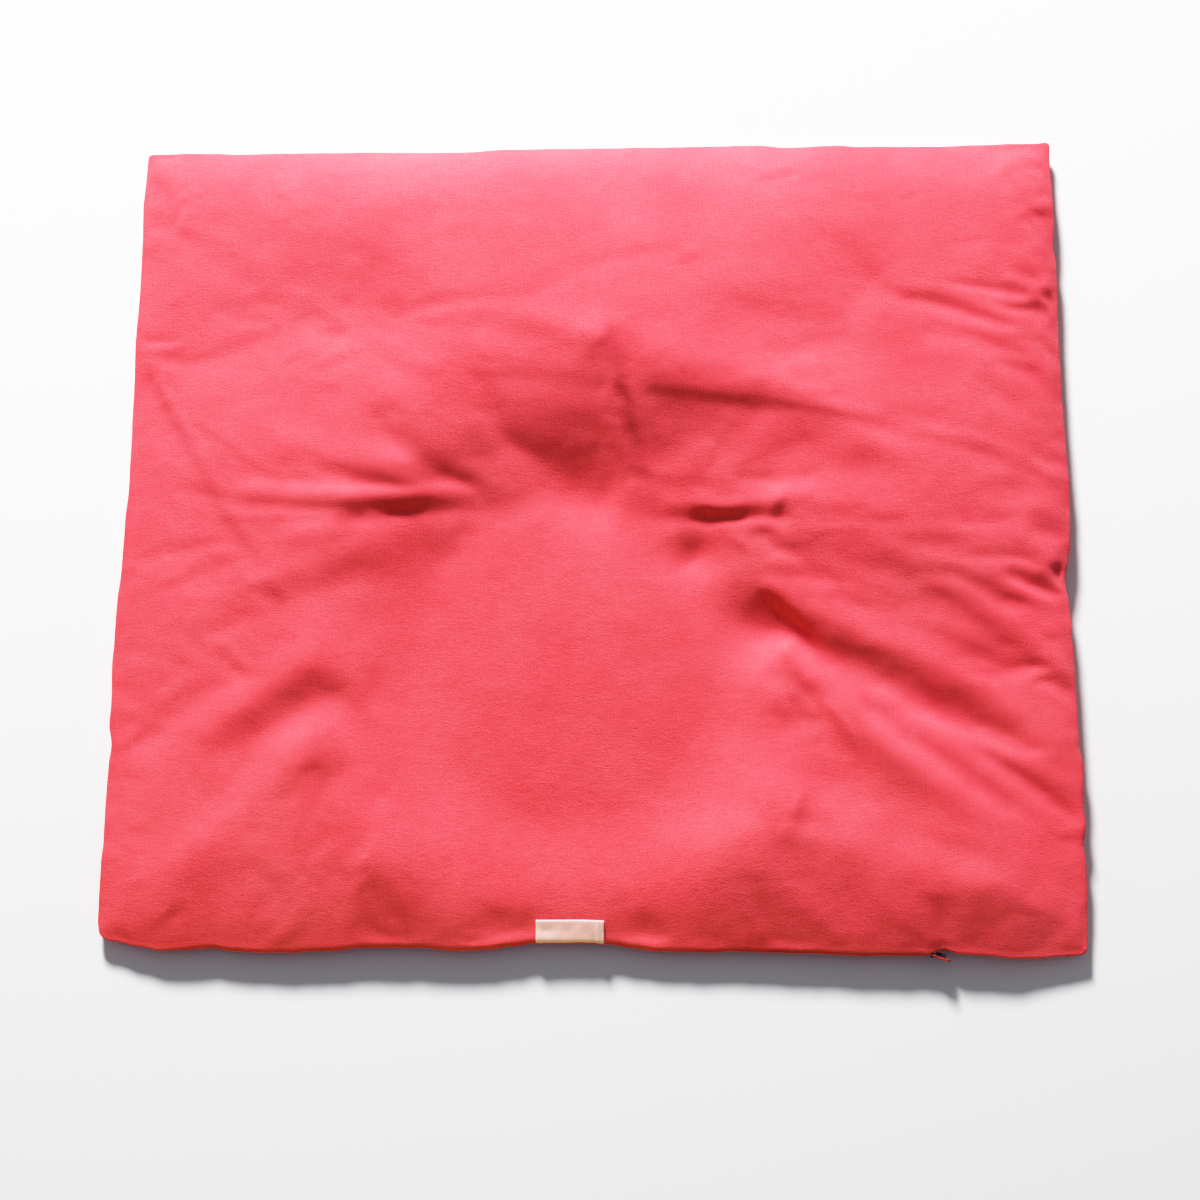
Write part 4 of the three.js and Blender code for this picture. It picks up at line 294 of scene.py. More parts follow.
    Fold("fine_128", 1.10, 0.39, 1.77, 1.62, 6.6, 7.2, [(357.2, -102.5, 0.95, 3.7), (356.2, -117.5, 0.91, 3.7), (356.0, -132.5, 0.86, 3.5)]),
    Fold("fine_129", 1.06, 0.74, 1.79, 1.71, 4.9, 6.4, [(312.4, -262.0, 0.89, 6.3), (301.2, -263.7, 0.82, 6.9), (290.1, -265.8, 0.78, 6.9)]),
    Fold("fine_130", 1.53, 0.14, 1.56, 1.50, 4.3, 6.7, [(368.2, 133.6, 1.12, 3.6), (358.8, 143.7, 1.03, 3.4), (349.3, 153.8, 0.73, 3.1)]),
    Fold("fine_131", 1.41, 0.88, 2.09, 1.70, 7.7, 4.9, [(350.3, -315.5, 0.86, 6.8), (362.2, -320.1, 0.85, 7.2), (374.6, -322.7, 1.01, 6.8)]),
    Fold("fine_132", 0.96, 0.32, 1.37, 1.76, 7.3, 8.6, [(193.4, -49.6, 1.02, 3.6), (208.7, -58.9, 0.93, 3.2), (224.3, -67.6, 0.85, 3.1)]),
    Fold("fine_133", 0.39, 0.46, 1.54, 1.61, 9.1, 9.2, [(80.1, 101.3, 0.78, 2.3), (100.0, 98.4, 0.75, 2.2), (119.8, 95.7, 0.78, 2.2)]),
    Fold("fine_134", 0.67, 0.50, 1.55, 1.62, 8.1, 7.4, [(154.4, -85.8, 0.82, 3.3), (159.1, -102.6, 0.83, 3.3), (169.2, -117.0, 0.86, 3.4)]),
    Fold("fine_135", 0.95, 0.83, 1.47, 1.68, 7.9, 5.1, [(-237.3, 41.4, 0.83, 3.4), (-220.1, 37.0, 0.89, 3.6), (-203.1, 32.1, 1.06, 3.8)]),
    Fold("fine_136", 0.72, 0.50, 1.70, 1.61, 6.6, 7.0, [(-2.1, 117.5, 0.84, 3.5), (-1.0, 132.5, 0.83, 3.5), (-1.5, 147.5, 0.88, 3.5)]),
    Fold("fine_137", 1.12, 0.59, 1.37, 1.79, 6.9, 6.8, [(-234.5, 167.3, 0.96, 3.4), (-218.8, 162.4, 0.94, 3.4), (-203.4, 156.6, 0.98, 3.6)]),
    Fold("fine_138", 1.00, 0.43, 1.49, 1.71, 5.3, 5.2, [(217.9, 157.0, 0.85, 5.8), (229.7, 150.7, 0.86, 5.4), (241.0, 143.5, 0.86, 5.2)]),
    Fold("fine_139", 0.96, 0.59, 1.60, 1.52, 17.0, 31.4, [(-164.2, -322.8, 0.86, 5.9), (-166.1, -297.2, 0.91, 5.7), (-166.2, -276.2, 0.79, 5.7), (-175.6, -251.7, 0.74, 5.6)]),
    Fold("fine_140", 1.05, 0.67, 2.58, 1.59, 13.1, 13.3, [(-184.6, -262.1, 0.87, 8.0), (-182.1, -288.6, 0.80, 7.5), (-179.7, -315.0, 0.74, 7.3)]),
    Fold("fine_141", 1.47, 0.55, 1.89, 1.66, 12.6, 11.7, [(-209.9, 185.3, 0.91, 6.1), (-177.2, 182.7, 0.85, 7.0), (-144.8, 186.3, 1.02, 6.9)]),
    Fold("fine_142", 0.56, 0.25, 1.72, 1.47, 11.2, 11.0, [(366.9, -312.8, 0.71, 5.8), (357.8, -285.6, 0.65, 5.8), (351.5, -257.5, 0.74, 5.8)]),
    Fold("fine_143", 1.32, 0.34, 1.80, 2.27, 9.4, 19.4, [(18.1, 113.3, 1.12, 3.3), (34.0, 96.7, 1.01, 3.0), (38.5, 80.7, 0.97, 2.6), (42.8, 64.4, 0.90, 2.4), (47.1, 43.0, 0.86, 2.3)]),
    Fold("fine_144", 1.24, 0.53, 1.62, 1.57, 11.2, 25.7, [(-213.2, -127.3, 1.07, 5.2), (-209.9, -100.1, 0.89, 5.4), (-221.4, -74.9, 0.77, 5.5)]),
    Fold("fine_145", 1.19, 0.68, 1.41, 1.85, 11.4, 16.1, [(-269.6, -316.6, 0.88, 6.1), (-254.6, -295.0, 0.88, 6.9), (-239.3, -273.7, 0.83, 6.7)]),
    Fold("fine_146", 0.88, 0.41, 1.50, 1.95, 14.4, 9.7, [(326.9, -194.6, 0.81, 6.2), (349.8, -184.1, 0.82, 6.2), (369.2, -167.9, 0.86, 5.9)]),
    Fold("fine_147", 2.16, 0.51, 1.45, 1.56, 11.6, 9.0, [(170.9, -119.5, 0.97, 5.4), (185.6, -135.6, 0.99, 5.6), (200.4, -151.6, 0.98, 5.8)]),
    Fold("fine_148", 0.58, 0.34, 1.48, 1.38, 10.8, 8.6, [(134.6, -322.1, 0.70, 5.1), (129.7, -301.0, 0.69, 5.1), (123.3, -280.3, 0.74, 5.3)]),
    Fold("fine_149", 1.15, 0.40, 1.58, 1.71, 14.0, 9.8, [(339.2, -207.7, 0.87, 3.3), (321.8, -194.3, 0.91, 3.5), (304.0, -181.3, 0.92, 3.6)]),
    Fold("fine_150", 0.71, 0.22, 1.53, 1.71, 11.1, 12.0, [(-145.2, -1.0, 0.81, 4.0), (-167.6, -2.2, 0.84, 3.7), (-189.9, 0.7, 0.82, 3.5)]),
    Fold("fine_151", 0.81, 0.41, 1.53, 1.77, 9.7, 10.8, [(35.8, 37.0, 0.83, 3.5), (30.9, 57.1, 0.87, 3.5), (27.8, 77.6, 0.86, 3.5)]),
    Fold("fine_152", 0.62, 0.43, 1.55, 1.57, 6.3, 7.1, [(-212.3, -202.0, 0.75, 5.7), (-216.4, -186.0, 0.73, 5.6), (-218.8, -169.7, 0.77, 5.7)]),
    Fold("fine_153", 1.42, 0.74, 1.69, 1.46, 8.6, 7.6, [(12.2, 128.0, 1.03, 3.7), (5.5, 144.0, 0.95, 3.5), (0.2, 160.4, 0.91, 3.3)]),
    Fold("fine_154", 0.76, 0.35, 1.65, 1.70, 6.7, 7.4, [(-363.6, -287.5, 0.81, 6.4), (-363.6, -301.3, 0.76, 6.3), (-364.5, -315.0, 0.73, 6.0)]),
    Fold("fine_155", 1.86, 0.33, 1.51, 1.52, 8.2, 7.2, [(137.0, -46.0, 0.94, 2.7), (147.3, -60.0, 1.04, 3.0), (159.0, -72.9, 0.97, 3.4)]),
    Fold("fine_156", 1.02, 0.52, 1.66, 1.81, 8.1, 8.8, [(-255.2, -40.7, 0.95, 3.8), (-241.6, -54.2, 0.88, 3.8), (-229.8, -69.3, 0.92, 3.8)]),
    Fold("fine_157", 1.40, 0.69, 1.50, 1.61, 5.8, 5.6, [(-177.6, 215.0, 0.87, 5.9), (-190.0, 217.1, 0.89, 5.7), (-202.5, 216.8, 0.87, 5.5)]),
    Fold("fine_158", 1.73, 0.64, 2.03, 1.62, 9.7, 6.7, [(344.3, 209.1, 1.01, 3.8), (359.8, 200.5, 1.01, 3.8), (371.0, 186.8, 1.04, 3.8)]),
    Fold("fine_159", 0.74, 0.43, 1.48, 1.52, 9.5, 10.0, [(85.0, 11.5, 0.89, 2.2), (106.3, 11.2, 0.86, 2.0), (127.5, 13.1, 0.84, 2.0)]),
    Fold("fine_160", 1.11, 0.45, 1.44, 1.57, 8.4, 9.2, [(-368.1, -179.1, 0.87, 3.5), (-354.0, -167.2, 0.93, 3.3), (-338.9, -156.5, 0.97, 3.2)]),
    Fold("fine_161", 1.60, 0.18, 1.60, 1.82, 5.4, 5.7, [(372.0, -12.8, 0.99, 3.8), (357.4, -9.1, 1.00, 3.7), (343.0, -5.0, 0.84, 3.7)]),
    Fold("fine_162", 1.21, 0.54, 1.39, 2.26, 8.0, 6.3, [(-99.4, 38.7, 0.84, 4.2), (-113.9, 32.7, 0.89, 3.7), (-129.6, 33.4, 1.00, 3.5)]),
    Fold("fine_163", 0.85, 0.50, 1.60, 1.70, 9.2, 10.6, [(156.2, -110.2, 0.92, 2.3), (159.0, -131.3, 0.92, 2.3), (167.3, -150.9, 0.93, 2.3)]),
    Fold("fine_164", 1.56, 0.67, 1.51, 1.69, 6.2, 4.5, [(340.0, 279.6, 0.90, 5.8), (355.1, 279.5, 0.94, 6.2), (370.0, 277.4, 1.04, 6.1)]),
    Fold("fine_165", 1.30, 0.43, 1.92, 1.79, 6.6, 6.6, [(182.2, -147.2, 0.93, 2.6), (170.1, -135.9, 0.99, 2.7), (159.2, -123.4, 0.99, 2.8)]),
    Fold("fine_166", 0.88, 0.30, 1.57, 1.84, 7.3, 8.2, [(-219.5, -262.8, 0.96, 3.7), (-204.7, -272.1, 0.90, 3.7), (-191.2, -283.2, 0.81, 3.6)]),
    Fold("fine_167", 1.39, -0.02, 1.70, 2.16, 16.1, 7.9, [(357.4, -170.6, 0.88, 2.8), (340.1, -174.1, 1.12, 3.2), (322.8, -171.2, 1.06, 3.1)]),
    Fold("fine_168", 1.32, 0.47, 1.44, 1.82, 8.4, 6.6, [(126.2, 5.6, 0.91, 3.5), (138.2, -4.5, 1.00, 3.5), (151.9, -12.3, 1.02, 3.5)]),
    Fold("fine_169", 0.95, 0.48, 1.65, 1.92, 7.0, 7.5, [(190.2, -21.2, 0.85, 3.8), (204.9, -25.6, 0.92, 4.3), (220.0, -28.1, 0.92, 4.1)]),
    Fold("fine_170", 1.11, 0.42, 1.68, 1.33, 4.7, 5.3, [(370.4, -225.0, 1.01, 3.0), (358.1, -219.9, 0.90, 3.0), (345.4, -215.5, 0.77, 3.3)]),
    Fold("fine_171", 1.04, 0.47, 1.53, 1.52, 5.9, 5.3, [(-255.0, 165.1, 0.88, 3.3), (-267.6, 165.5, 0.90, 3.4), (-279.6, 169.5, 0.91, 3.3)]),
    Fold("fine_172", 0.67, 0.44, 1.64, 1.55, 4.0, 4.8, [(-3.6, 56.3, 0.83, 6.1), (5.4, 63.2, 0.78, 6.1), (14.6, 69.7, 0.76, 5.5)]),
    Fold("fine_173", 0.69, 0.42, 1.49, 1.87, 4.6, 5.1, [(-228.5, -284.5, 0.82, 3.7), (-236.7, -293.4, 0.79, 3.8), (-246.0, -301.1, 0.81, 3.7)]),
    Fold("fine_174", 0.81, 0.30, 1.91, 2.25, 6.6, 5.8, [(82.8, -307.8, 0.88, 4.9), (97.7, -309.9, 0.88, 5.2), (112.4, -313.2, 0.90, 4.6)]),
    Fold("fine_175", 1.00, 0.54, 1.71, 1.56, 7.8, 8.0, [(308.3, 175.3, 0.98, 2.2), (323.9, 169.1, 1.02, 2.2), (339.2, 162.1, 0.98, 2.3)]),
    Fold("fine_176", 1.13, 0.53, 1.71, 1.33, 4.3, 5.3, [(250.8, -194.7, 0.91, 5.1), (260.4, -200.5, 0.92, 5.3), (270.3, -205.9, 0.84, 5.4)]),
    Fold("fine_177", 1.09, 0.54, 1.67, 1.92, 4.0, 4.3, [(-265.0, 247.7, 0.91, 6.8), (-253.7, 249.0, 0.88, 6.5), (-242.4, 248.6, 0.86, 6.1)]),
    Fold("fine_178", 0.73, 0.50, 1.56, 1.91, 5.9, 6.0, [(-299.9, -208.5, 0.87, 3.8), (-286.1, -207.4, 0.86, 3.7), (-272.5, -204.9, 0.88, 3.6)]),
    Fold("fine_179", 0.71, 0.59, 1.75, 1.65, 5.3, 5.5, [(5.0, 112.9, 0.86, 3.6), (3.5, 126.7, 0.82, 3.7), (-1.3, 139.8, 0.85, 3.7)]),
    Fold("fine_180", 1.54, 0.28, 1.81, 1.89, 5.4, 4.0, [(363.9, 43.9, 0.83, 3.5), (353.7, 50.0, 1.04, 3.8), (342.6, 53.7, 1.03, 3.8)]),
    Fold("fine_181", 0.74, 0.46, 1.58, 1.42, 6.1, 4.8, [(-150.0, 8.9, 0.90, 2.1), (-162.5, 10.3, 0.86, 2.1), (-175.0, 11.4, 0.85, 2.1)]),
    Fold("fine_182", 1.19, 0.62, 1.85, 1.77, 6.1, 5.5, [(158.7, -227.4, 0.93, 2.6), (164.9, -215.5, 1.01, 2.7), (170.6, -203.4, 0.95, 2.6)]),
    Fold("fine_183", 0.65, 0.42, 1.84, 1.72, 5.6, 6.8, [(318.0, -322.1, 0.91, 2.5), (332.1, -318.3, 0.87, 2.6), (344.8, -311.4, 0.85, 2.5)]),
    Fold("fine_184", 1.31, 0.45, 1.33, 1.53, 5.5, 4.1, [(354.4, -33.6, 0.92, 1.9), (363.1, -43.9, 1.07, 2.0), (369.8, -55.5, 1.00, 2.1)]),
    Fold("fine_185", 0.66, 0.48, 1.39, 1.56, 5.6, 5.1, [(220.1, -116.2, 0.82, 3.0), (232.3, -119.8, 0.86, 3.1), (244.9, -121.2, 0.86, 3.3)]),
    Fold("fine_186", 0.67, 0.22, 1.69, 1.57, 5.0, 4.8, [(297.5, -150.2, 0.81, 3.7), (310.0, -151.7, 0.84, 3.6), (322.5, -153.2, 0.86, 3.4)]),
    Fold("fine_187", 0.89, 0.36, 1.51, 2.14, 4.7, 4.9, [(-220.0, 112.2, 0.92, 3.9), (-207.5, 111.0, 0.91, 3.8), (-195.0, 109.9, 0.88, 3.7)]),
    Fold("fine_188", 1.01, 0.34, 1.66, 1.54, 4.3, 4.2, [(-135.2, 167.6, 0.89, 3.3), (-124.1, 163.8, 0.93, 3.3), (-112.7, 161.2, 0.91, 3.3)]),
    Fold("fine_189", 1.13, 0.62, 2.03, 1.71, 5.5, 6.1, [(109.1, -6.4, 0.94, 2.5), (118.9, -16.2, 1.02, 2.7), (129.8, -24.9, 0.99, 2.7)]),
    Fold("fine_190", 0.73, 0.60, 1.46, 1.83, 4.4, 5.4, [(-149.9, 14.7, 0.89, 2.4), (-138.4, 14.3, 0.87, 2.4), (-127.5, 18.0, 0.82, 2.3)]),
    Fold("fine_191", 2.01, 0.58, 1.65, 1.76, 4.0, 4.5, [(-92.2, -320.8, 1.04, 2.4), (-81.3, -318.9, 1.15, 2.2), (-70.3, -321.0, 1.10, 2.0)]),
    Fold("fine_192", 0.57, 0.55, 1.67, 1.72, 4.4, 5.0, [(202.5, -315.8, 0.85, 3.5), (213.9, -312.8, 0.81, 3.6), (225.1, -309.4, 0.79, 3.6)]),
    Fold("fine_193", 0.90, 0.47, 1.59, 1.52, 4.4, 4.1, [(292.8, -88.3, 0.89, 3.6), (304.0, -92.0, 0.93, 3.5), (314.2, -97.6, 0.88, 3.2)]),
    Fold("fine_194", 0.89, 0.61, 1.64, 1.69, 4.4, 4.6, [(-174.8, 149.0, 0.90, 3.6), (-164.2, 143.9, 0.92, 3.6), (-152.8, 140.8, 0.91, 3.5)]),
    Fold("fine_195", 0.78, 0.46, 1.61, 1.74, 4.1, 4.2, [(185.9, 147.2, 0.90, 3.7), (195.3, 151.9, 0.89, 3.6), (203.3, 159.0, 0.89, 3.5)]),
    Fold("fine_196", 0.67, 0.60, 1.79, 1.51, 5.0, 4.5, [(177.5, -7.0, 0.88, 2.3), (188.7, -7.4, 0.88, 2.3), (200.0, -7.6, 0.88, 2.4)]),
    Fold("fine_197", 0.77, 0.49, 1.58, 1.66, 5.0, 4.9, [(342.9, 192.1, 0.91, 2.3), (352.9, 186.8, 0.95, 2.3), (361.7, 179.8, 0.89, 2.2)]),
    Fold("fine_198", 0.71, 0.21, 1.63, 1.68, 4.4, 4.4, [(-320.0, 143.0, 0.93, 2.4), (-308.7, 142.5, 0.93, 2.4), (-297.5, 143.2, 0.94, 2.3)]),
]

# soft pits (deep positive) and swells (negative): centre, radii, turn, depth
Pit = namedtuple("Pit", "name x y rx ry turn deep")
PITS = [
    Pit("right_notch", 373, -37, 7, 8, 0, 3.8),
    Pit("back_right_notch", 364, 179, 7, 9, -8, 3.8),
    Pit("front_right_swell", 292, -262, 42, 36, -3, -5.3),
    Pit("front_right_dip", 308, -286, 31, 13, -8, -2.2),
    Pit("front_left_ease", -285, -273, 62, 22, 3, 1.7),
    Pit("zip_pucker", 267, -323, 8, 6, -2, -0.6),
    Pit("left_mid_swell", -219, 133, 74, 47, -7, 3.6),
    Pit("back_swell", 46, 186, 102, 50, 6, -8.4),
    Pit("right_swell", 222, 131, 63, 27, -5, 0.5),
    Pit("low_right_swell", 189, -228, 85, 17, -30, -4.1),
    Pit("swell_01", -277, 244, 84, 42, 11, -0.5),
    Pit("swell_02", -129, 243, 95, 49, -4, -0.9),
    Pit("swell_03", 28, 245, 119, 33, -2, -3.2),
    Pit("swell_04", 177, 238, 78, 46, 15, -2.1),
    Pit("swell_05", 329, 228, 44, 65, 6, -2.8),
    Pit("swell_06", -292, 126, 63, 57, 1, 0.9),
    Pit("swell_07", -158, 113, 57, 30, -10, -3.4),
    Pit("swell_08", 13, 134, 58, 36, 11, -4.0),
    Pit("swell_09", 133, 108, 92, 38, -13, -4.3),
    Pit("swell_10", 297, 93, 53, 70, -9, -3.9),
    Pit("swell_11", -310, -12, 55, 73, 12, 4.4),
    Pit("swell_12", -245, -85, 53, 66, -3, 2.3),
    Pit("swell_13", 258, 14, 67, 52, -10, -4.6),
    Pit("swell_14", 233, -74, 91, 36, -31, 5.0),
    Pit("swell_15", 326, -133, 37, 65, 2, 3.4),
    Pit("swell_16", -311, -137, 70, 96, -8, 5.6),
    Pit("swell_17", -252, -221, 62, 38, 6, 4.1),
    Pit("swell_18", -315, -282, 76, 29, 25, -4.0),
    Pit("swell_19", -196, -291, 73, 27, 22, -1.1),
    Pit("swell_20", 183, -192, 42, 80, 24, 7.4),
    Pit("swell_21", 312, -235, 68, 40, -8, 3.3),
    Pit("swell_22", 117, -250, 57, 41, -12, -5.8),
    Pit("swell_23", 235, -289, 52, 37, -1, -2.5),
    Pit("swell_24", 331, -291, 49, 20, -18, -3.0),
    Pit("swell_25", 58, 96, 61, 26, 7, -2.8),
    Pit("swell_26", -80, 87, 47, 22, -6, 2.4),
    Pit("swell_27", -64, 46, 63, 23, 13, 2.5),
]

# painted shade: the cloth's colour is darkened along these creases to stand in for the shade in them
# points: x, y, mm to either side, share
PaintedCreaseShade = namedtuple("PaintedCreaseShade", "name tone points")
PAINTED_CREASE_SHADE = [
    PaintedCreaseShade("upright", .46, [(15, 163, 4, 0), (18, 153, 6, .8), (22, 138, 8, .95), (26, 120, 7, 1), (30, 102, 6.5, 1), (34, 82, 6.5, 1), (39, 62, 6, 1), (45, 44, 6, .8), (54, 24, 6, .3), (62, 6, 6, 0)]),
    PaintedCreaseShade("upright_head", .26, [(16, 158, 6, 0), (13, 146, 10, 1), (10, 130, 12, .8), (6, 108, 14, .3), (2, 92, 14, 0)]),
]

# smaller creases, strewn over areas: how many, where, lie and its spread in
# degrees, length, step and wall in mm
Strew = namedtuple("Strew", "name count x0 x1 y0 y1 lie spread long0 long1 step0 step1 wall0 wall1")
STREWN = [
    Strew("right_edge", 16, 326, 374, -300, 300, -20, 20, 14, 44, .5, 1.7, 1.8, 3.4),
    Strew("right_field", 12, 150, 350, -130, 120, -8, 14, 30, 100, .35, 1.1, 2.6, 5.0),
    Strew("left_edge", 12, -374, -326, -290, 290, 14, 26, 14, 40, .4, 1.4, 2.0, 3.6),
    Strew("left_field", 14, -345, -150, -170, 230, 4, 30, 26, 90, .3, .9, 2.6, 5.5),
    Strew("back_field", 14, -300, 330, 130, 300, -4, 34, 26, 90, .25, .7, 2.8, 5.5),
    Strew("back_edge", 14, -350, 350, 296, 322, -70, 34, 14, 34, .25, .8, 2.2, 4.0),
    Strew("front_left", 8, -350, -150, -316, -190, 36, 34, 18, 56, .4, 1.2, 2.6, 5.0),
    Strew("front_right", 10, 90, 350, -316, -200, -38, 26, 18, 60, .4, 1.3, 2.4, 4.6),
    Strew("front_mid", 12, -150, 90, -316, -250, 0, 60, 18, 46, .4, 1.0, 2.6, 4.6),
    Strew("all_over", 190, -360, 360, -310, 310, -6, 70, 10, 42, .12, .42, 1.6, 3.2),
]


# ------------------------------------------------------------------ shape
def smooth(t):
    t = np.clip(t, 0.0, 1.0)
    return t * t * (3 - 2 * t)


def along(rows, at):
    a, o = (np.array(c, float) for c in zip(*rows))
    i = np.clip(np.searchsorted(a, at) - 1, 0, len(a) - 2)
    t = smooth((at - a[i]) / (a[i + 1] - a[i]))
    return o[i] + (o[i + 1] - o[i]) * t


def calm(x, y):
    """how freely the cloth creases: 0 on the pressed seat, 1 from its rim out"""
    return 1 - smooth((SEAT["rim"] - np.hypot(x - SEAT["x"], y - SEAT["y"])) / SEAT["ease"])


def fractal(x, y, scale, seed, octaves=3, stretch=1.0):
    """seeded smooth noise of about -1 to 1 at places in mm"""
    out = np.empty(x.size)
    for k, (a, b) in enumerate(zip(x.ravel(), y.ravel())):
        out[k] = noise.fractal(Vector((a / scale, b * stretch / scale, seed)), 1.0, 2.0, octaves, noise_basis='PERLIN_ORIGINAL')
    return out.reshape(x.shape)


def place(x, y):
    """nominal place on the rectangle -> place on the uneven sewn mat"""
    hx, hy = WIDTH / 2, DEPTH / 2
    near = lambda gap: smooth(1 - gap / WAVE_REACH)
    px = x - (along(LEFT, y) - 1.6) * near(hx + x) + (along(RIGHT, y) - 1.1) * near(hx - x)
    py = y + (along(BACK, x) - 1.4) * near(hy - y) - along(FRONT, x) * near(hy + y)
    cx, cy = hx - CORNER_RADIUS, hy - CORNER_RADIUS
    qx, qy = np.abs(x) - cx, np.abs(y) - cy
    m = (qx > 0) & (qy > 0)
    far = np.hypot(np.where(m, qx, 1), np.where(m, qy, 1))
    k = np.where(m, np.maximum(qx, qy) / far, 1.0)
    px = px + np.where(m, np.sign(x) * qx * (k - 1), 0)
    py = py + np.where(m, np.sign(y) * qy * (k - 1), 0)
    return px, py


def seam_height(x, y):
    c = smooth(1 - (WIDTH / 2 - np.abs(x)) / 70) * smooth(1 - (DEPTH / 2 - np.abs(y)) / 70)
    return SEAM_HEIGHT - FRONT_DROP * smooth((-y - 130) / 190) - CORNER_DROP * c + 0.9 * np.sin(x / 61 + 0.7) * np.sin(y / 73 + 2.1)


def shoulder(gap, run, power):
    return 1 - (1 - np.clip(gap / run, 0, 1)) ** power


def hollow(x, y):
    """the pressed seat: a soft basin within a wider, shallower one"""
    dx, dy = x - HOLLOW["x"], y - HOLLOW["y"]
    r = np.hypot(dx, dy)
    behind = (0.5 + 0.5 * dy / np.maximum(r, 1)) ** 2
    rim, floor = HOLLOW["rim"] + HOLLOW["rim_back"] * behind, HOLLOW["floor"] + HOLLOW["floor_back"] * behind
    wide = HOLLOW["wide"] + HOLLOW["wide_back"] * behind ** 2
    return HOLLOW["deep"] * smooth((rim - r) / (rim - floor)) + HOLLOW["shallow"] * smooth((wide - r) / (wide - 190))


def curve(points, steps=6):
    """smooth line through the points"""
    p = np.array(points, float)
    q = np.vstack([2 * p[0] - p[1], p, 2 * p[-1] - p[-2]])
    out = []
    for i in range(1, len(q) - 2):
        for t in np.arange(steps) / steps:
            a, b, c, d = q[i - 1], q[i], q[i + 1], q[i + 2]
            out.append(0.5 * (2 * b + (c - a) * t + (2 * a - 5 * b + 4 * c - d) * t * t + (3 * b - a - 3 * c + d) * t ** 3))
    out.append(q[-2])
    return np.array(out)


def bell(s, near, far, sharp):
    """1 at 0, falling off over near where s is negative and over far where positive"""
    t = np.abs(s) / np.where(s < 0, near, far)
    return np.exp(-np.power(np.sqrt(t * t + 0.02) - 0.1414, sharp))


def fold_height(f, x, y):
    """height a crease adds at places in mm"""
    line = curve(f.stations)
    reach = 2.4 * line[:, 3].max() * (1 + max(f.up, f.down))
    h = np.zeros_like(x)
    m = (x > line[:, 0].min() - reach) & (x < line[:, 0].max() + reach) & (y > line[:, 1].min() - reach) & (y < line[:, 1].max() + reach)
    if not m.any():
        return h
    px, py = x[m][:, None], y[m][:, None]
    a, d = line[:-1], line[1:] - line[:-1]
    ln = np.hypot(d[:, 0], d[:, 1])
    base = np.concatenate([[0], np.cumsum(ln)])
    t = np.clip(((px - a[:, 0]) * d[:, 0] + (py - a[:, 1]) * d[:, 1]) / ln ** 2, 0, 1)
    ox, oy = px - (a[:, 0] + t * d[:, 0]), py - (a[:, 1] + t * d[:, 1])
    far = ox * ox + oy * oy
    # the nearest stretches of the line, shared softly, so that bends throw no rays
    share = (far.min(1)[:, None] + 2.0) / (far + 2.0)
    share = share * share
    share = share * share
    share /= share.sum(1)[:, None]
    off = (share * (d[:, 0] * oy - d[:, 1] * ox) / ln).sum(1)
    near = far.min(1)
    past = np.maximum(near - off * off, 0)              # how far past an end, squared
    s = (share * (base[:-1] + t * ln)).sum(1)
    high = (share * (a[:, 2] + t * d[:, 2])).sum(1)
    wall = np.maximum((share * (a[:, 3] + t * d[:, 3])).sum(1), 1.6)
    # a little wander and swelling along the way
    k = 0.13 * line[0, 0] + 0.07 * line[0, 1]
    off = off + np.minimum(0.12 * wall, 0.7) * (np.sin(s / 15.0 + k) + 0.5 * np.sin(s / 6.1 + 2 * k))
    amp = f.step * high * smooth(s / f.fade0) * smooth((base[-1] - s) / f.fade1)
    amp = amp * np.exp(-past / (2.2 * wall * wall)) * smooth((reach - np.sqrt(near)) / (0.5 * reach))
    crest = bell(off - wall, 1.5 * wall, f.up * wall, 1.7)
    trough = bell(-off - wall, 1.5 * wall, f.down * wall, 1.45)
    h[m] = amp * (f.crest * crest - (1 - f.crest) * trough)
    return h


def pit_depth(p, x, y):
    c, s = math.cos(math.radians(p.turn)), math.sin(math.radians(p.turn))
    u, v = ((x - p.x) * c + (y - p.y) * s) / p.rx, ((y - p.y) * c - (x - p.x) * s) / p.ry
    return p.deep * np.exp(-u * u - v * v)


def painted_crease_shade(x, y):
    """how much the painted crease shade darkens the cloth's colour, 0 to 1"""
    out = np.zeros_like(x)
    for p in PAINTED_CREASE_SHADE:
        line = curve(p.points)
        far = (x[..., None] - line[:, 0]) ** 2 + (y[..., None] - line[:, 1]) ** 2
        k = far.argmin(-1)
        d = np.sqrt(np.take_along_axis(far, k[..., None], -1)[..., 0])
        out += p.tone * np.clip(line[k, 3], 0, 1) * np.exp(-(d / line[k, 2]) ** 2)
    return np.clip(out, 0, 1)


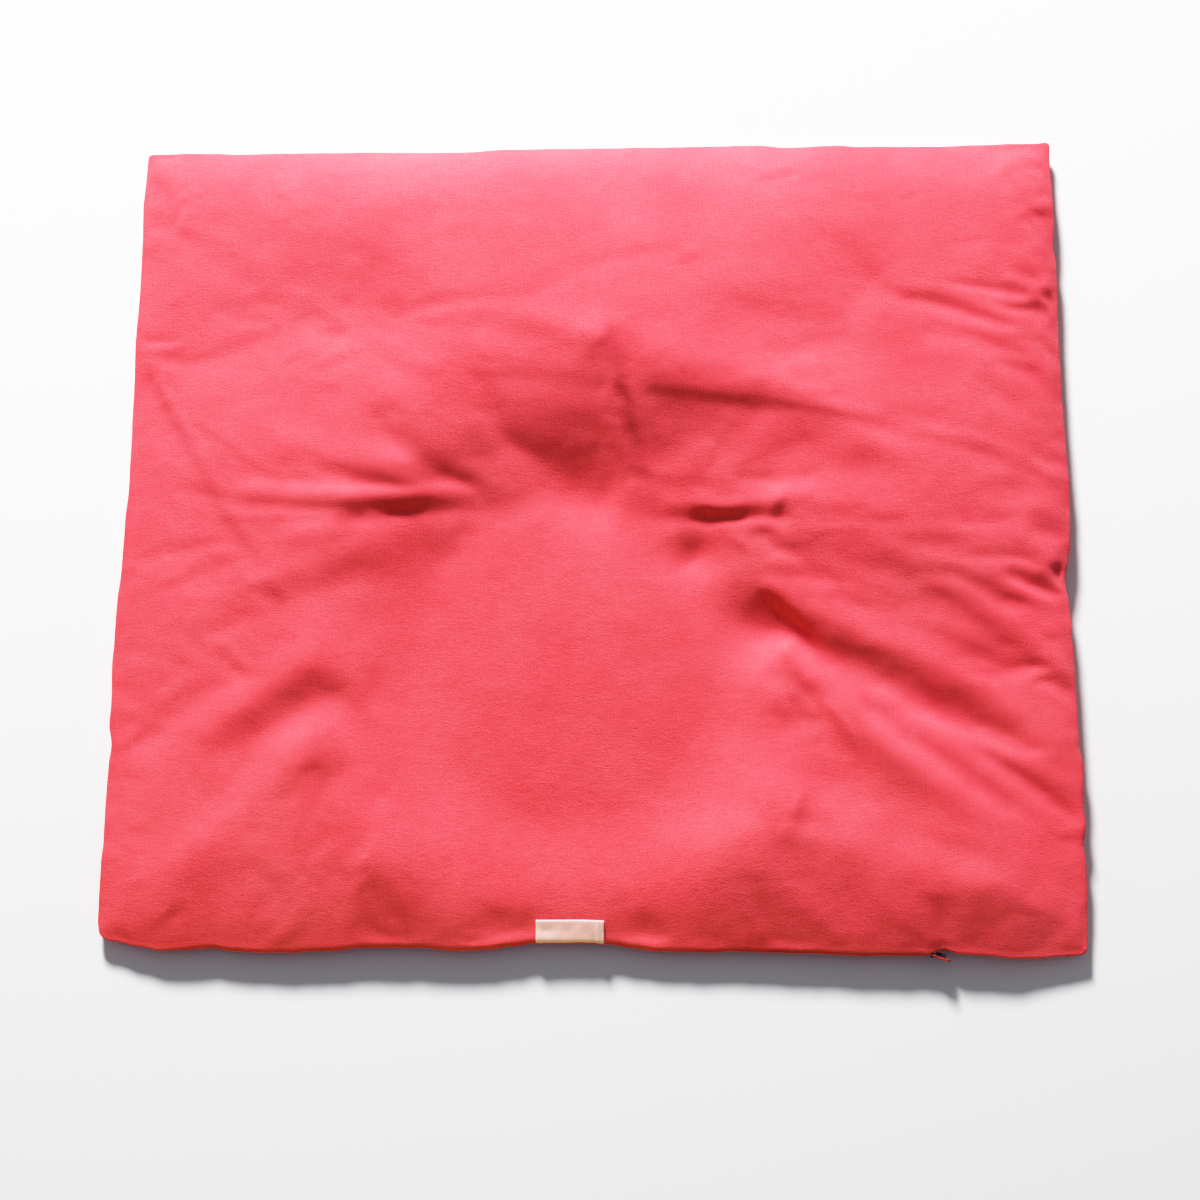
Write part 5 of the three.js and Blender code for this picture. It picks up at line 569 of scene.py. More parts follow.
def strewn_folds():
    """the smaller creases, placed from a seed"""
    rnd = np.random.RandomState(11)
    out = []
    for z in STREWN:
        for k in range(z.count):
            x, y = rnd.uniform(z.x0, z.x1), rnd.uniform(z.y0, z.y1)
            lie = math.radians(z.lie + z.spread * rnd.uniform(-1, 1))
            long = z.long0 + (z.long1 - z.long0) * rnd.uniform() ** 1.6
            step = z.step0 + (z.step1 - z.step0) * rnd.uniform() ** 2
            wall = z.wall0 + (z.wall1 - z.wall0) * rnd.uniform()
            bow = 0.10 * long * rnd.uniform(-1, 1)
            dx, dy = math.cos(lie), math.sin(lie)
            pts = [(x - dx * long / 2, y - dy * long / 2, .8, wall * .85), (x - dy * bow, y + dx * bow, 1, wall), (x + dx * long / 2, y + dy * long / 2, .8, wall * .85)]
            out.append(Fold(z.name, step, rnd.uniform(.3, .7), rnd.uniform(1.4, 2.4), rnd.uniform(1.4, 2.4), long * .42, long * .42, pts))
    # and some that run out of the hollow
    for k in range(12):
        way = math.radians(rnd.uniform(-20, 200))
        r0 = rnd.uniform(150, 240)
        long = 30 + 90 * rnd.uniform() ** 1.5
        turn = way + rnd.uniform(-.22, .22)
        cx, cy = HOLLOW["x"] + r0 * math.cos(way), HOLLOW["y"] + r0 * math.sin(way)
        wall = rnd.uniform(2.6, 5.4)
        pts = [(cx, cy, .9, wall), (cx + .5 * long * math.cos(turn), cy + .5 * long * math.sin(turn), .9, wall), (cx + long * math.cos(turn + .08), cy + long * math.sin(turn + .08), .9, wall)]
        if math.cos(way) < 0:
            pts = pts[::-1]
        out.append(Fold("radial", rnd.uniform(.4, 1.5), rnd.uniform(.3, .6), 1.9, 1.9, long * .4, long * .4, pts))
    return out


def base_height(x, y):
    """height of the top panel over its rolled edge, before the creases"""
    gx, gy = WIDTH / 2 - np.abs(x), DEPTH / 2 - np.abs(y)
    across, along_y = 1 - (2 * x / WIDTH) ** 2, 1 - (2 * y / DEPTH) ** 2
    left, right = shoulder(gx, *LEFT_SIDE[1:]), shoulder(gx, *RIGHT_SIDE[1:])
    back, front = shoulder(gy, *BACK_SIDE[1:]), shoulder(gy, *FRONT_SIDE[1:])
    side = np.where(x < 0, left, right)
    end = np.where(y > 0, back, front)
    turn = smooth(x / WIDTH + 0.5)
    h = (LEFT_SIDE[0] + (RIGHT_SIDE[0] - LEFT_SIDE[0]) * turn) * side * end
    h = h + (BACK_SIDE[0] + (FRONT_SIDE[0] - BACK_SIDE[0]) * smooth(0.5 - y / DEPTH)) * across * end
    return h + CROWN * across * along_y - hollow(x, y) * end * side


def full_height(x, y):
    """height of the top panel over its rolled edge"""
    gx, gy = WIDTH / 2 - np.abs(x), DEPTH / 2 - np.abs(y)
    h = base_height(x, y)
    free = smooth((gx - 1) / 9) * smooth((gy - 1) / 9)
    still = calm(x, y)
    wrinkle = np.zeros_like(x)
    for f in FOLDS:
        wrinkle += fold_height(f, x, y) * still
    for p in PITS:
        wrinkle -= pit_depth(p, x, y) * still
    for f in strewn_folds():
        wrinkle += fold_height(f, x, y) * (0.45 + 0.55 * still)
    return h + wrinkle * free


def rolled(g, turn):
    """section of the rolled edge: mm in from the outermost line and mm up
    from the seam, at a run g in from the seam over the roll"""
    span = 6.0
    th = np.radians(-50 + (50 + turn) * np.clip(g / span, 0, 1))
    u = ROLL * (1 - np.cos(th))
    r = ROLL * (np.sin(th) + math.sin(math.radians(50)))
    u1, r1 = ROLL * (1 - math.cos(math.radians(turn))), ROLL * (math.sin(math.radians(turn)) + math.sin(math.radians(50)))
    k = (22.0 - u1) / (22.0 - span)
    u = np.where(g <= span, u, np.where(g < 22, u1 + (g - span) * k, g))
    return u, np.where(g <= span, r, r1)


def puckers(s, k):
    """seeded unevenness along a seam, about -1 to 1"""
    return (np.sin(s / 5.3 + k) * np.sin(s / 37 + 2 * k) + 0.7 * np.sin(s / 3.1 + 3 * k) * np.sin(s / 23 + k) + 0.6 * np.sin(s / 11.7 + 1.3 * k)) / 1.6


EDGE = [0, .45, .95, 1.5, 2.1, 2.8, 3.6, 4.5, 5.5, 6.7, 8.2, 10, 12.2, 14.8, 17.4]


def lines(width, pitch):
    half, last = width / 2, EDGE[-1]
    n = round((width - 2 * last) / pitch)
    inner = -half + last + (width - 2 * last) * np.arange(1, n) / n
    e = np.array(EDGE, float)
    return np.concatenate([-half + e, inner, (half - e)[::-1]])


def lip(x):
    """how far the lower roll of the front stands past the upper, mm"""
    return 2.0 * smooth((x + 330) / 40) * smooth((262 - x) / 10) + 0.4


def side_push(x, y, u_x, u_y):
    """nominal lines moved to the rolled section, before the sides' waves"""
    return np.sign(x) * (WIDTH / 2 - u_x), np.sign(y) * (DEPTH / 2 - u_y)


def top_surface(xs, ys):
    X, Y = np.meshgrid(xs, ys)
    gx, gy = WIDTH / 2 - np.abs(X), DEPTH / 2 - np.abs(Y)
    (ux, rx), (uy, ry) = rolled(gx, 45), rolled(gy, 45)
    nx, ny = side_push(X, Y, ux, uy)
    near = np.minimum(gx, gy)
    rise = np.where(near <= 0, 0.0, rx * ry / ROLL_RISE)
    px, py = place(nx, ny)
    z = seam_height(X, Y) + rise + full_height(nx, ny) * (near > 0)
    # small puckers where the seam gathers the cloth
    s = np.where(gx < gy, Y + 900 * (X > 0), X + 2300 * (Y > 0))
    band = np.exp(-((near - 7) / 9) ** 2) * (near > 0)
    strength = np.where((X > 0) & (gx < gy), 1.0, 0.6)
    z = z + 0.5 * strength * band * puckers(s, 1.0)
    out = 0.35 * strength * np.exp(-(near / 7.0) ** 2) * puckers(s, 2.2)
    px = px + np.where(gx < gy, np.sign(X) * out, 0)
    py = py + np.where(gx < gy, 0, np.sign(Y) * out)
    # the upper roll of the front stands a little back from the lower one
    back = np.where(Y < 0, lip(X) * smooth(1 - gy / 30), 0) * smooth(gx / 14)
    py = py + back
    # fine unevenness of the cloth
    fine = 0.55 * fractal(X, Y, 46, 3.1, 3) + 0.16 * fractal(X, Y, 15, 8.7, 2, 1.6)
    z = z + fine * smooth(near / 16)
    return X, Y, px, py, z


def under_ring(xr, yr, g):
    """a ring of the bottom panel at a run g in from the seam"""
    gx, gy = WIDTH / 2 - np.abs(xr), DEPTH / 2 - np.abs(yr)
    u, r = rolled(np.full(xr.shape, float(g)), 68)
    if g > 6:
        u1 = ROLL * (1 - math.cos(math.radians(68)))
        u = np.full(xr.shape, u1 + (g - 6) * 1.0)
    kx, ky = 1 - u / (WIDTH / 2), 1 - u / (DEPTH / 2)
    x, y = xr * kx, yr * ky
    px, py = place(x, y)
    z0 = seam_height(xr, yr)
    u1 = ROLL * (1 - math.cos(math.radians(68)))
    drop = ROLL * (math.sin(math.radians(68)) + math.sin(math.radians(50)))
    if g <= 6:
        z = z0 - r
    else:
        z = (z0 - drop) * (1 - np.clip((u - u1) / (UNDER_RUN - u1), 0, 1)) ** 2
    s = np.where(gx < gy, yr + 900 * (xr > 0), xr + 2300 * (yr > 0))
    z = z + 0.4 * math.exp(-((g - 7) / 9) ** 2) * puckers(s, 5.0) * (g < 40)
    z = np.maximum(z, 0.0)
    out = 0.3 * math.exp(-(g / 7.0) ** 2) * puckers(s, 2.2)
    px = px + np.where(gx < gy, np.sign(xr) * out, 0)
    py = py + np.where(gx < gy, 0, np.sign(yr) * out)
    return px, py, z


def new_mesh(name, verts, faces, uv=None):
    me = bpy.data.meshes.new(name)
    me.from_pydata([tuple(v) for v in verts], [], faces)
    me.validate()
    for p in me.polygons:
        p.use_smooth = True
    if uv is not None:
        layer = me.uv_layers.new(name="weave")
        idx = np.empty(len(me.loops), int)
        me.loops.foreach_get("vertex_index", idx)
        layer.data.foreach_set("uv", np.asarray(uv, float)[idx].ravel())
    me.update()
    ob = bpy.data.objects.new(name, me)
    bpy.context.scene.collection.objects.link(ob)
    return ob


def to_row(px, py, z):
    return np.stack([(px + SHIFT_X) * MM, (py + SHIFT_Y) * MM, z * MM], -1)


def build_mat():
    xs, ys = lines(WIDTH, 2.75), lines(DEPTH, 2.75)
    nx, ny = len(xs), len(ys)
    X, Y, px, py, z = top_surface(xs, ys)
    top = to_row(px, py, z)
    # cloth lengths along both ways, for the weave
    def run(a, axis):
        d = np.linalg.norm(np.diff(a, axis=axis), axis=-1)
        c = np.concatenate([np.zeros_like(np.take(d, [0], axis)), np.cumsum(d, axis)], axis)
        return c - np.take(c, [c.shape[axis] // 2], axis)
    uv = [np.stack([run(top, 1), run(top, 0)], -1).reshape(-1, 2)]
    verts = [top.reshape(-1, 3)]
    j, i = np.meshgrid(np.arange(ny - 1), np.arange(nx - 1), indexing="ij")
    a = (j * nx + i).ravel()
    faces = np.stack([a, a + 1, a + 1 + nx, a + nx], 1).tolist()
    ring = [(i, 0) for i in range(nx - 1)] + [(nx - 1, j) for j in range(ny - 1)] + [(i, ny - 1) for i in range(nx - 1, 0, -1)] + [(0, j) for j in range(ny - 1, 0, -1)]
    ri, rj = (np.array(c) for c in zip(*ring))
    outer = rj * nx + ri
    xr, yr = xs[ri], ys[rj]
    count = nx * ny
    n = len(ring)
    for g in (.6, 1.3, 2.1, 3, 4, 5, 6, 8, 11, 15, 20, 26, 33, 41, UNDER_RUN + 5):
        qx, qy, qz = under_ring(xr, yr, g)
        v = to_row(qx, qy, qz)
        verts.append(v)
        uv.append(v[:, :2])
        inner = count + np.arange(n)
        m = np.roll(np.arange(n), -1)
        faces += np.stack([outer, inner, inner[m], outer[m]], 1).tolist()
        outer = inner
        count += n
    faces.append(outer[::-1].tolist())
    ob = new_mesh("mat_cover_cloth", np.concatenate(verts), faces, np.concatenate(uv))
    # painted crease shade at each point of the top, multiplied into the cloth's colour by its material
    deep = np.zeros(len(ob.data.vertices), np.float32)
    deep[:nx * ny] = painted_crease_shade(X, Y).ravel()
    ob.data.attributes.new("painted_shade", "FLOAT", "POINT").data.foreach_set("value", deep)
    return ob


# ------------------------------------------------------------------ materials
class Nodes:
    """short names for making a material's nodes"""
    def __init__(self, name):
        self.mat = bpy.data.materials.new(name)
        self.mat.use_nodes = True
        self.t = self.mat.node_tree
        self.bsdf = self.t.nodes["Principled BSDF"]

    @classmethod
    def of(cls, mat):
        """the same for a material that is there already"""
        N = cls.__new__(cls)
        N.mat, N.t = mat, mat.node_tree
        N.bsdf = N.t.nodes["Principled BSDF"]
        return N

    def new(self, kind, **props):
        n = self.t.nodes.new(kind)
        for k, v in props.items():
            setattr(n, k, v)
        return n

    def link(self, a, b):
        self.t.links.new(a, b)

    def set(self, node, **values):
        for k, v in values.items():
            node.inputs[k.replace("_", " ")].default_value = v
        return node

    def math(self, op, a, b=None, c=None, clamp=False):
        n = self.new("ShaderNodeMath", operation=op, use_clamp=clamp)
        for k, v in enumerate((a, b, c)):
            if v is None:
                continue
            if isinstance(v, (int, float)):
                n.inputs[k].default_value = v
            else:
                self.link(v, n.inputs[k])
        return n.outputs[0]

    def scaled(self, vec, scale, turn=(0, 0, 0), move=(0, 0, 0)):
        n = self.new("ShaderNodeMapping")
        n.inputs["Scale"].default_value = scale
        n.inputs["Rotation"].default_value = turn
        n.inputs["Location"].default_value = move
        self.link(vec, n.inputs["Vector"])
        return n.outputs[0]

    def noise(self, vec, scale, detail=2.0, rough=0.5):
        n = self.new("ShaderNodeTexNoise")
        n.inputs["Scale"].default_value = scale
        n.inputs["Detail"].default_value = detail
        n.inputs["Roughness"].default_value = rough
        self.link(vec, n.inputs["Vector"])
        return n.outputs["Fac"]

    def ramp(self, fac, stops):
        n = self.new("ShaderNodeValToRGB")
        e = n.color_ramp.elements
        while len(e) < len(stops):
            e.new(0.5)
        for el, (pos, col) in zip(e, stops):
            el.position = pos
            el.color = (*col, 1)
        self.link(fac, n.inputs["Fac"])
        return n.outputs["Color"]

    def mix(self, fac, a, b, blend="MIX"):
        n = self.new("ShaderNodeMix", data_type="RGBA", blend_type=blend)
        for sock, v in ((n.inputs[0], fac), (n.inputs[6], a), (n.inputs[7], b)):
            if isinstance(v, (int, float)):
                sock.default_value = v
            elif isinstance(v, tuple):
                sock.default_value = (*v, 1)
            else:
                self.link(v, sock)
        return n.outputs[2]


def woven(name, colours, thread, bump, slub=0.5, specks=0.0, sheen=0.25, sheen_tint=(1, 1, 1), rough=0.9, painted_shade=None):
    """plain weave. colours: dark, main, light. thread: mm across a thread.
    bump: mm of thread, slub, grain, crepe and slack."""
    N = Nodes(name)
    uvn = N.new("ShaderNodeUVMap", uv_map="weave")
    mm = N.scaled(uvn.outputs["UV"], (1000, 1000, 1000))      # 1 unit = 1 mm
    # threads wander a little
    wob = N.new("ShaderNodeTexNoise", noise_dimensions="2D")
    N.set(wob, Scale=0.22, Detail=2.0)
    N.link(mm, wob.inputs["Vector"])
    off = N.new("ShaderNodeVectorMath", operation="MULTIPLY_ADD")
    N.link(wob.outputs["Color"], off.inputs[0])
    off.inputs[1].default_value = (0.9, 0.9, 0)
    N.link(mm, off.inputs[2])
    sep = N.new("ShaderNodeSeparateXYZ")
    N.link(off.outputs[0], sep.inputs[0])
    k = math.pi / thread
    su = N.math("SINE", N.math("MULTIPLY", sep.outputs["X"], k))
    sv = N.math("SINE", N.math("MULTIPLY", sep.outputs["Y"], k * 0.93))
    cross = N.math("MULTIPLY_ADD", N.math("MULTIPLY", su, sv), 0.5, 0.5)
    # uneven yarns: long streaks along either way
    weft = N.noise(N.scaled(mm, (0.10, 1.05, 1)), 1.0, 3.0, 0.6)
    warp = N.noise(N.scaled(mm, (1.15, 0.07, 1), move=(31, 7, 0)), 1.0, 2.0, 0.55)
    grain = N.noise(mm, 0.75, 3.0, 0.65)
    broad = N.noise(mm, 0.011, 3.0, 0.55)
    tone = N.math("MULTIPLY_ADD", weft, 0.62 * slub, 0.5 - 0.31 * slub)
    tone = N.math("ADD", tone, N.math("MULTIPLY_ADD", warp, 0.36 * slub, -0.18 * slub))
    tone = N.math("ADD", tone, N.math("MULTIPLY_ADD", grain, 0.60, -0.30))
    tone = N.math("ADD", tone, N.math("MULTIPLY_ADD", cross, 0.24, -0.12))
    tone = N.math("ADD", tone, N.math("MULTIPLY_ADD", broad, 0.34, -0.17), clamp=True)
    col = N.ramp(tone, [(0.18, colours[0]), (0.5, colours[1]), (0.82, colours[2])])
    if specks:
        cell = N.new("ShaderNodeTexVoronoi", feature="F1", voronoi_dimensions="2D")
        N.set(cell, Scale=0.030, Randomness=1.0)
        N.link(N.scaled(mm, (1, 1.5, 1)), cell.inputs["Vector"])
        hit = N.math("LESS_THAN", cell.outputs["Distance"], 0.011)
        pick = N.new("ShaderNodeSeparateColor")
        N.link(cell.outputs["Color"], pick.inputs[0])
        dark = N.math("MULTIPLY", hit, N.math("LESS_THAN", pick.outputs[0], 0.16))
        col = N.mix(N.math("MULTIPLY", dark, specks), col, (0.22, 0.015, 0.03))
    # painted shade: the colour is multiplied darker along the listed creases, standing in for their shade
    if painted_shade:
        painted_shade_attr = N.new("ShaderNodeAttribute", attribute_name="painted_shade", attribute_type="GEOMETRY")
        col = N.mix(painted_shade_attr.outputs["Fac"], col, painted_shade, "MULTIPLY")
    N.link(col, N.bsdf.inputs["Base Color"])
    # the surface, in mm: threads, slubs, and the crepe of washed cloth
    crepe = N.noise(N.scaled(mm, (0.30, 0.44, 1), turn=(0, 0, 0.5), move=(5, 17, 0)), 1.0, 3.0, 0.68)
    slack = N.noise(N.scaled(mm, (0.10, 0.15, 1), turn=(0, 0, 0.3), move=(91, 3, 0)), 1.0, 2.0, 0.55)
    h = N.math("ADD", N.math("MULTIPLY", cross, bump[0]), N.math("MULTIPLY", weft, bump[1]))
    h = N.math("MULTIPLY_ADD", warp, 0.6 * bump[1], h)
    h = N.math("MULTIPLY_ADD", grain, bump[2], h)
    h = N.math("MULTIPLY_ADD", crepe, bump[3], h)
    h = N.math("MULTIPLY_ADD", slack, bump[4], h)
    b = N.new("ShaderNodeBump")
    N.set(b, Strength=1.0, Distance=MM)
    N.link(h, b.inputs["Height"])
    N.link(b.outputs["Normal"], N.bsdf.inputs["Normal"])
    rg = N.math("MULTIPLY_ADD", grain, 0.10, rough - 0.05)
    N.link(rg, N.bsdf.inputs["Roughness"])
    N.bsdf.inputs["Specular IOR Level"].default_value = 0.25
    N.bsdf.inputs["Sheen Weight"].default_value = sheen
    N.bsdf.inputs["Sheen Roughness"].default_value = 0.45
    N.bsdf.inputs["Sheen Tint"].default_value = (*sheen_tint, 1)
    return N.mat


def coated(name, main, worn, metal, rough):
    """small hard trim: an even coat with faint wear"""
    N = Nodes(name)
    co = N.new("ShaderNodeTexCoord").outputs["Object"]
    fine = N.noise(N.scaled(co, (1, 1, 1)), 900, 3.0, 0.6)
    big = N.noise(N.scaled(co, (1, 1, 1)), 240, 2.0, 0.5)
    tone = N.math("ADD", N.math("MULTIPLY", fine, 0.5), N.math("MULTIPLY", big, 0.5))
    N.link(N.ramp(tone, [(0.35, main), (0.62, tuple(min(1, c * 1.12) for c in main)), (0.72, worn)]), N.bsdf.inputs["Base Color"])
    N.link(N.math("MULTIPLY_ADD", fine, 0.18, rough - 0.09), N.bsdf.inputs["Roughness"])
    N.bsdf.inputs["Metallic"].default_value = metal
    b = N.new("ShaderNodeBump")
    N.set(b, Strength=0.25, Distance=0.05 * MM)
    N.link(fine, b.inputs["Height"])
    N.link(b.outputs["Normal"], N.bsdf.inputs["Normal"])
    return N.mat


# ------------------------------------------------------------------ pieces
# the last colour is the tint of the painted crease shade, multiplied in along the listed creases
CORAL = woven("coral_cotton", ((0.62, 0.040, 0.058), (0.86, 0.090, 0.120), (0.98, 0.165, 0.205)), 0.92, (0.17, 0.17, 0.32, 0.42, 0.31),
              slub=0.60, specks=0.85, sheen=0.22, sheen_tint=(1.0, 0.62, 0.70), rough=0.92, painted_shade=(0.50, 0.34, 0.40))
mat = build_mat()
mat.data.materials.append(CORAL)
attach(mat, "root")
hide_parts("mat_cover")

# ------------------------------------------------------------------ label
# a strip of tape caught in the front seam and lying up the slope. mm
LABEL = dict(x0=-36.0, x1=16.0, low=2.1, high=19.0, thick=0.7, clear=0.45, turned=6.0, fold=0.35)


def build_label():
    xs = np.linspace(LABEL["x0"], LABEL["x1"], 53)
    ys = -DEPTH / 2 + np.linspace(LABEL["low"], LABEL["high"], 19)
    nx, ny = len(xs), len(ys)
    X, Y, px, py, z = top_surface(xs, ys)
    p = np.stack([px, py, z], -1)
    n = np.cross(np.gradient(p, axis=1), np.gradient(p, axis=0))
    n /= np.linalg.norm(n, axis=-1)[..., None]
    # the ends are turned under: a second thickness there
    end = np.minimum(X - LABEL["x0"], LABEL["x1"] - X)
    extra = LABEL["fold"] * smooth((LABEL["turned"] - end) / 0.9 + 0.5)
    gap = np.minimum(end, np.minimum(Y - ys[0], ys[-1] - Y))
    worn = 0.12 * np.sin(X / 2.3 + 0.7) * np.sin(Y / 1.9) + 0.1 * np.sin(X / 7.1 + Y / 3.3)
    high = LABEL["clear"] + LABEL["thick"] + extra + worn * 0.6 - 0.25 * (1 - smooth(gap / 0.9))
    low = p + n * LABEL["clear"]
    top = p + n * high[..., None]
    verts = np.concatenate([low.reshape(-1, 3), top.reshape(-1, 3)])
    j, i = np.meshgrid(np.arange(ny - 1), np.arange(nx - 1), indexing="ij")
    a = (j * nx + i).ravel()
    faces = np.stack([a, a + nx, a + 1 + nx, a + 1], 1).tolist()
    b = a + nx * ny
    faces += np.stack([b, b + 1, b + 1 + nx, b + nx], 1).tolist()
    ring = [i for i in range(nx - 1)] + [j * nx + nx - 1 for j in range(ny - 1)] + [(ny - 1) * nx + i for i in range(nx - 1, 0, -1)] + [j * nx for j in range(ny - 1, 0, -1)]
    ring = np.array(ring)
    nxt = np.roll(ring, -1)
    faces += np.stack([ring, nxt, nxt + nx * ny, ring + nx * ny], 1).tolist()
    mid = (LABEL["x0"] + LABEL["x1"]) / 2
    uv = np.stack([(X - mid) * MM, (Y - ys[0]) * MM], -1).reshape(-1, 2)
    return new_mesh("label_tape", to_row(verts[:, 0], verts[:, 1], verts[:, 2]), faces, np.concatenate([uv, uv]))


def stitched(mat, half, tall):
    """rows of stitches near both ends of a small label, in its own cloth"""
    N = Nodes.of(mat)
    uvn = N.new("ShaderNodeUVMap", uv_map="weave")
    sep = N.new("ShaderNodeSeparateXYZ")
    N.link(N.scaled(uvn.outputs["UV"], (1000, 1000, 1000)), sep.inputs[0])
    u, v = sep.outputs["X"], sep.outputs["Y"]
    off = N.math("ABSOLUTE", N.math("SUBTRACT", N.math("ABSOLUTE", u), half))
    row = N.math("LESS_THAN", off, 0.28)
    dash = N.math("LESS_THAN", N.math("FRACT", N.math("DIVIDE", v, 2.6)), 0.68)
    hit = N.math("MULTIPLY", row, dash)
    base = N.bsdf.inputs["Base Color"].links[0].from_socket
    N.link(N.mix(N.math("MULTIPLY", hit, 0.8), base, (0.86, 0.74, 0.62)), N.bsdf.inputs["Base Color"])
    bump = N.bsdf.inputs["Normal"].links[0].from_node
    h = bump.inputs["Height"].links[0].from_socket
    dent = N.math("MULTIPLY_ADD", N.math("LESS_THAN", off, 0.6), -0.9, h)
    N.link(N.math("MULTIPLY_ADD", hit, 2.2, dent), bump.inputs["Height"])
    return mat


TAPE = woven("label_tape", ((0.76, 0.41, 0.42), (0.93, 0.54, 0.56), (0.97, 0.65, 0.67)), 0.55, (0.05, 0.05, 0.05, 0.05, 0.0),
             slub=0.35, sheen=0.12, sheen_tint=(1.0, 0.92, 0.84), rough=0.88)
label = build_label()
label.data.materials.append(stitched(TAPE, (LABEL["x1"] - LABEL["x0"]) / 2 - 3.2, 0))
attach(label, "root")
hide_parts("label")

# ------------------------------------------------------------------ zip slider and pull
SLIDER = dict(x=265.6, y=-323.8, length=8.0, tall=6.2, deep=2.2)
PULL = dict(ahead=-4.1, gap=0.35, length=16.5, tall=5.6, neck=3.2, thick=1.7, hole=2.6, eye=1.9)
ZIP_TURN = math.radians(-18)


def round_corners(points, cut, steps=4):
    """closed outline with its corners rounded"""
    out = []
    n = len(points)
    for k in range(n):
        p, a, b = (np.array(points[(k + d) % n], float) for d in (0, -1, 1))
        la, lb = np.linalg.norm(a - p), np.linalg.norm(b - p)
        c = min(cut, la * 0.45, lb * 0.45)
        s, e = p + (a - p) / la * c, p + (b - p) / lb * c
        for t in np.linspace(0, 1, steps + 1):
            out.append((1 - t) ** 2 * s + 2 * t * (1 - t) * p + t * t * e)
    return np.array(out)


def evened(points, n):
    """closed outline with n evenly spaced points"""
    p = np.vstack([points, points[:1]])
    run = np.concatenate([[0], np.cumsum(np.linalg.norm(np.diff(p, axis=0), axis=1))])
    at = np.linspace(0, run[-1], n, endpoint=False)
    return np.stack([np.interp(at, run, p[:, 0]), np.interp(at, run, p[:, 1])], -1)


def moved_in(points, by):
    """closed counter-clockwise outline moved inwards"""
    t = np.roll(points, -1, 0) - np.roll(points, 1, 0)
    t /= np.linalg.norm(t, axis=1)[:, None]
    return points + by * np.stack([-t[:, 1], t[:, 0]], -1)


def slab(outline, d0, d1, bevel):
    """plate between two depths with rounded rims: verts (x, depth, z), faces"""
    rings = []
    for t in (0, .25, .55, 1):
        rings.append((bevel * (1 - math.sin(t * math.pi / 2)), d0 + bevel * (1 - math.cos(t * math.pi / 2))))
    rings = [(a, d) for a, d in rings] + [(a, d0 + d1 - d) for a, d in reversed(rings)]
    n = len(outline)
    verts, faces = [], []
    for a, d in rings:
        q = moved_in(outline, a)
        verts += [(x, d, z) for x, z in q]
    for r in range(len(rings) - 1):
        for k in range(n):
            m = (k + 1) % n
            faces.append((r * n + k, r * n + m, (r + 1) * n + m, (r + 1) * n + k))
    faces.append(tuple(range(n))[::-1])
    faces.append(tuple((len(rings) - 1) * n + k for k in range(n)))
    return verts, faces


def holed(outline, hole, d0, d1, bevel):
    """the same with a hole through it; hole has as many points as outline"""
    n = len(outline)
    prof = [(bevel * (1 - math.sin(t * math.pi / 2)), d0 + bevel * (1 - math.cos(t * math.pi / 2))) for t in (0, .25, .55, 1)]
    prof = prof + [(a, d0 + d1 - d) for a, d in reversed(prof)]
    verts, faces = [], []
    for a, d in prof:
        verts += [(x, d, z) for x, z in moved_in(outline, a)]
    for a, d in reversed(prof):
        verts += [(x, d, z) for x, z in moved_in(hole, -a)]
    rows = 2 * len(prof)
    for r in range(rows):
        s = (r + 1) % rows
        for k in range(n):
            m = (k + 1) % n
            faces.append((r * n + k, r * n + m, s * n + m, s * n + k))
    return verts, faces


def merged(parts):
    verts, faces = [], []
    for v, f in parts:
        k = len(verts)
        verts += list(v)
        faces += [tuple(i + k for i in q) for q in f]
    return np.array(verts, float), faces


def zip_to_row(verts, ahead=0.0, out=0.0):
    """from the zip's own x, depth outwards, z to the row frame"""
    x, d, z = verts[:, 0] + ahead, verts[:, 1] + out, verts[:, 2]
    c, s = math.cos(ZIP_TURN), math.sin(ZIP_TURN)
    z0 = float(seam_height(np.array([SLIDER["x"]]), np.array([-DEPTH / 2]))[0])
    return to_row(SLIDER["x"] + c * x + s * d, SLIDER["y"] + s * x - c * d, z0 + z)


def circle(x, z, r, n, start=0.0):
    a = start + 2 * math.pi * np.arange(n) / n
    return np.stack([x + r * np.cos(a), z + r * np.sin(a)], -1)


def flat_shaded(ob, degrees=38):
    """faces turned outwards, and sharp where they meet at more than so many degrees"""
    bm = bmesh.new()
    bm.from_mesh(ob.data)
    bmesh.ops.recalc_face_normals(bm, faces=bm.faces)
    bm.to_mesh(ob.data)
    bm.free()
    ob.data.set_sharp_from_angle(angle=math.radians(degrees))
    return ob


def build_slider():
    l, t, deep = SLIDER["length"], SLIDER["tall"], SLIDER["deep"]
    shield = [(0, -t * .3), (l * .68, -t / 2), (l, -t * .34), (l, t * .34), (l * .68, t / 2), (0, t * .3)]
    shield = evened(round_corners(shield, 1.1), 44)
    core = evened(round_corners([(0.9, -.75), (4.2, -.75), (4.2, .75), (0.9, .75)], .5), 20)
    neck = evened(round_corners([(-3.3, -.8), (1.6, -.8), (1.6, .8), (-3.3, .8)], .75), 28)
    pin, head = circle(-2.1, 0, .6, 20), circle(-2.1, 0, 1.25, 24)
    v, f = merged([slab(shield, 0, .75, .22), slab(shield, 1.45, deep, .22), slab(core, .6, 1.6, .05),
                   slab(neck, 1.5, 2.15, .2), slab(pin, 2.0, 4.85, .08), slab(head, 4.62, 5.15, .2)])
    return flat_shaded(new_mesh("zip_slider_body", zip_to_row(v), f))


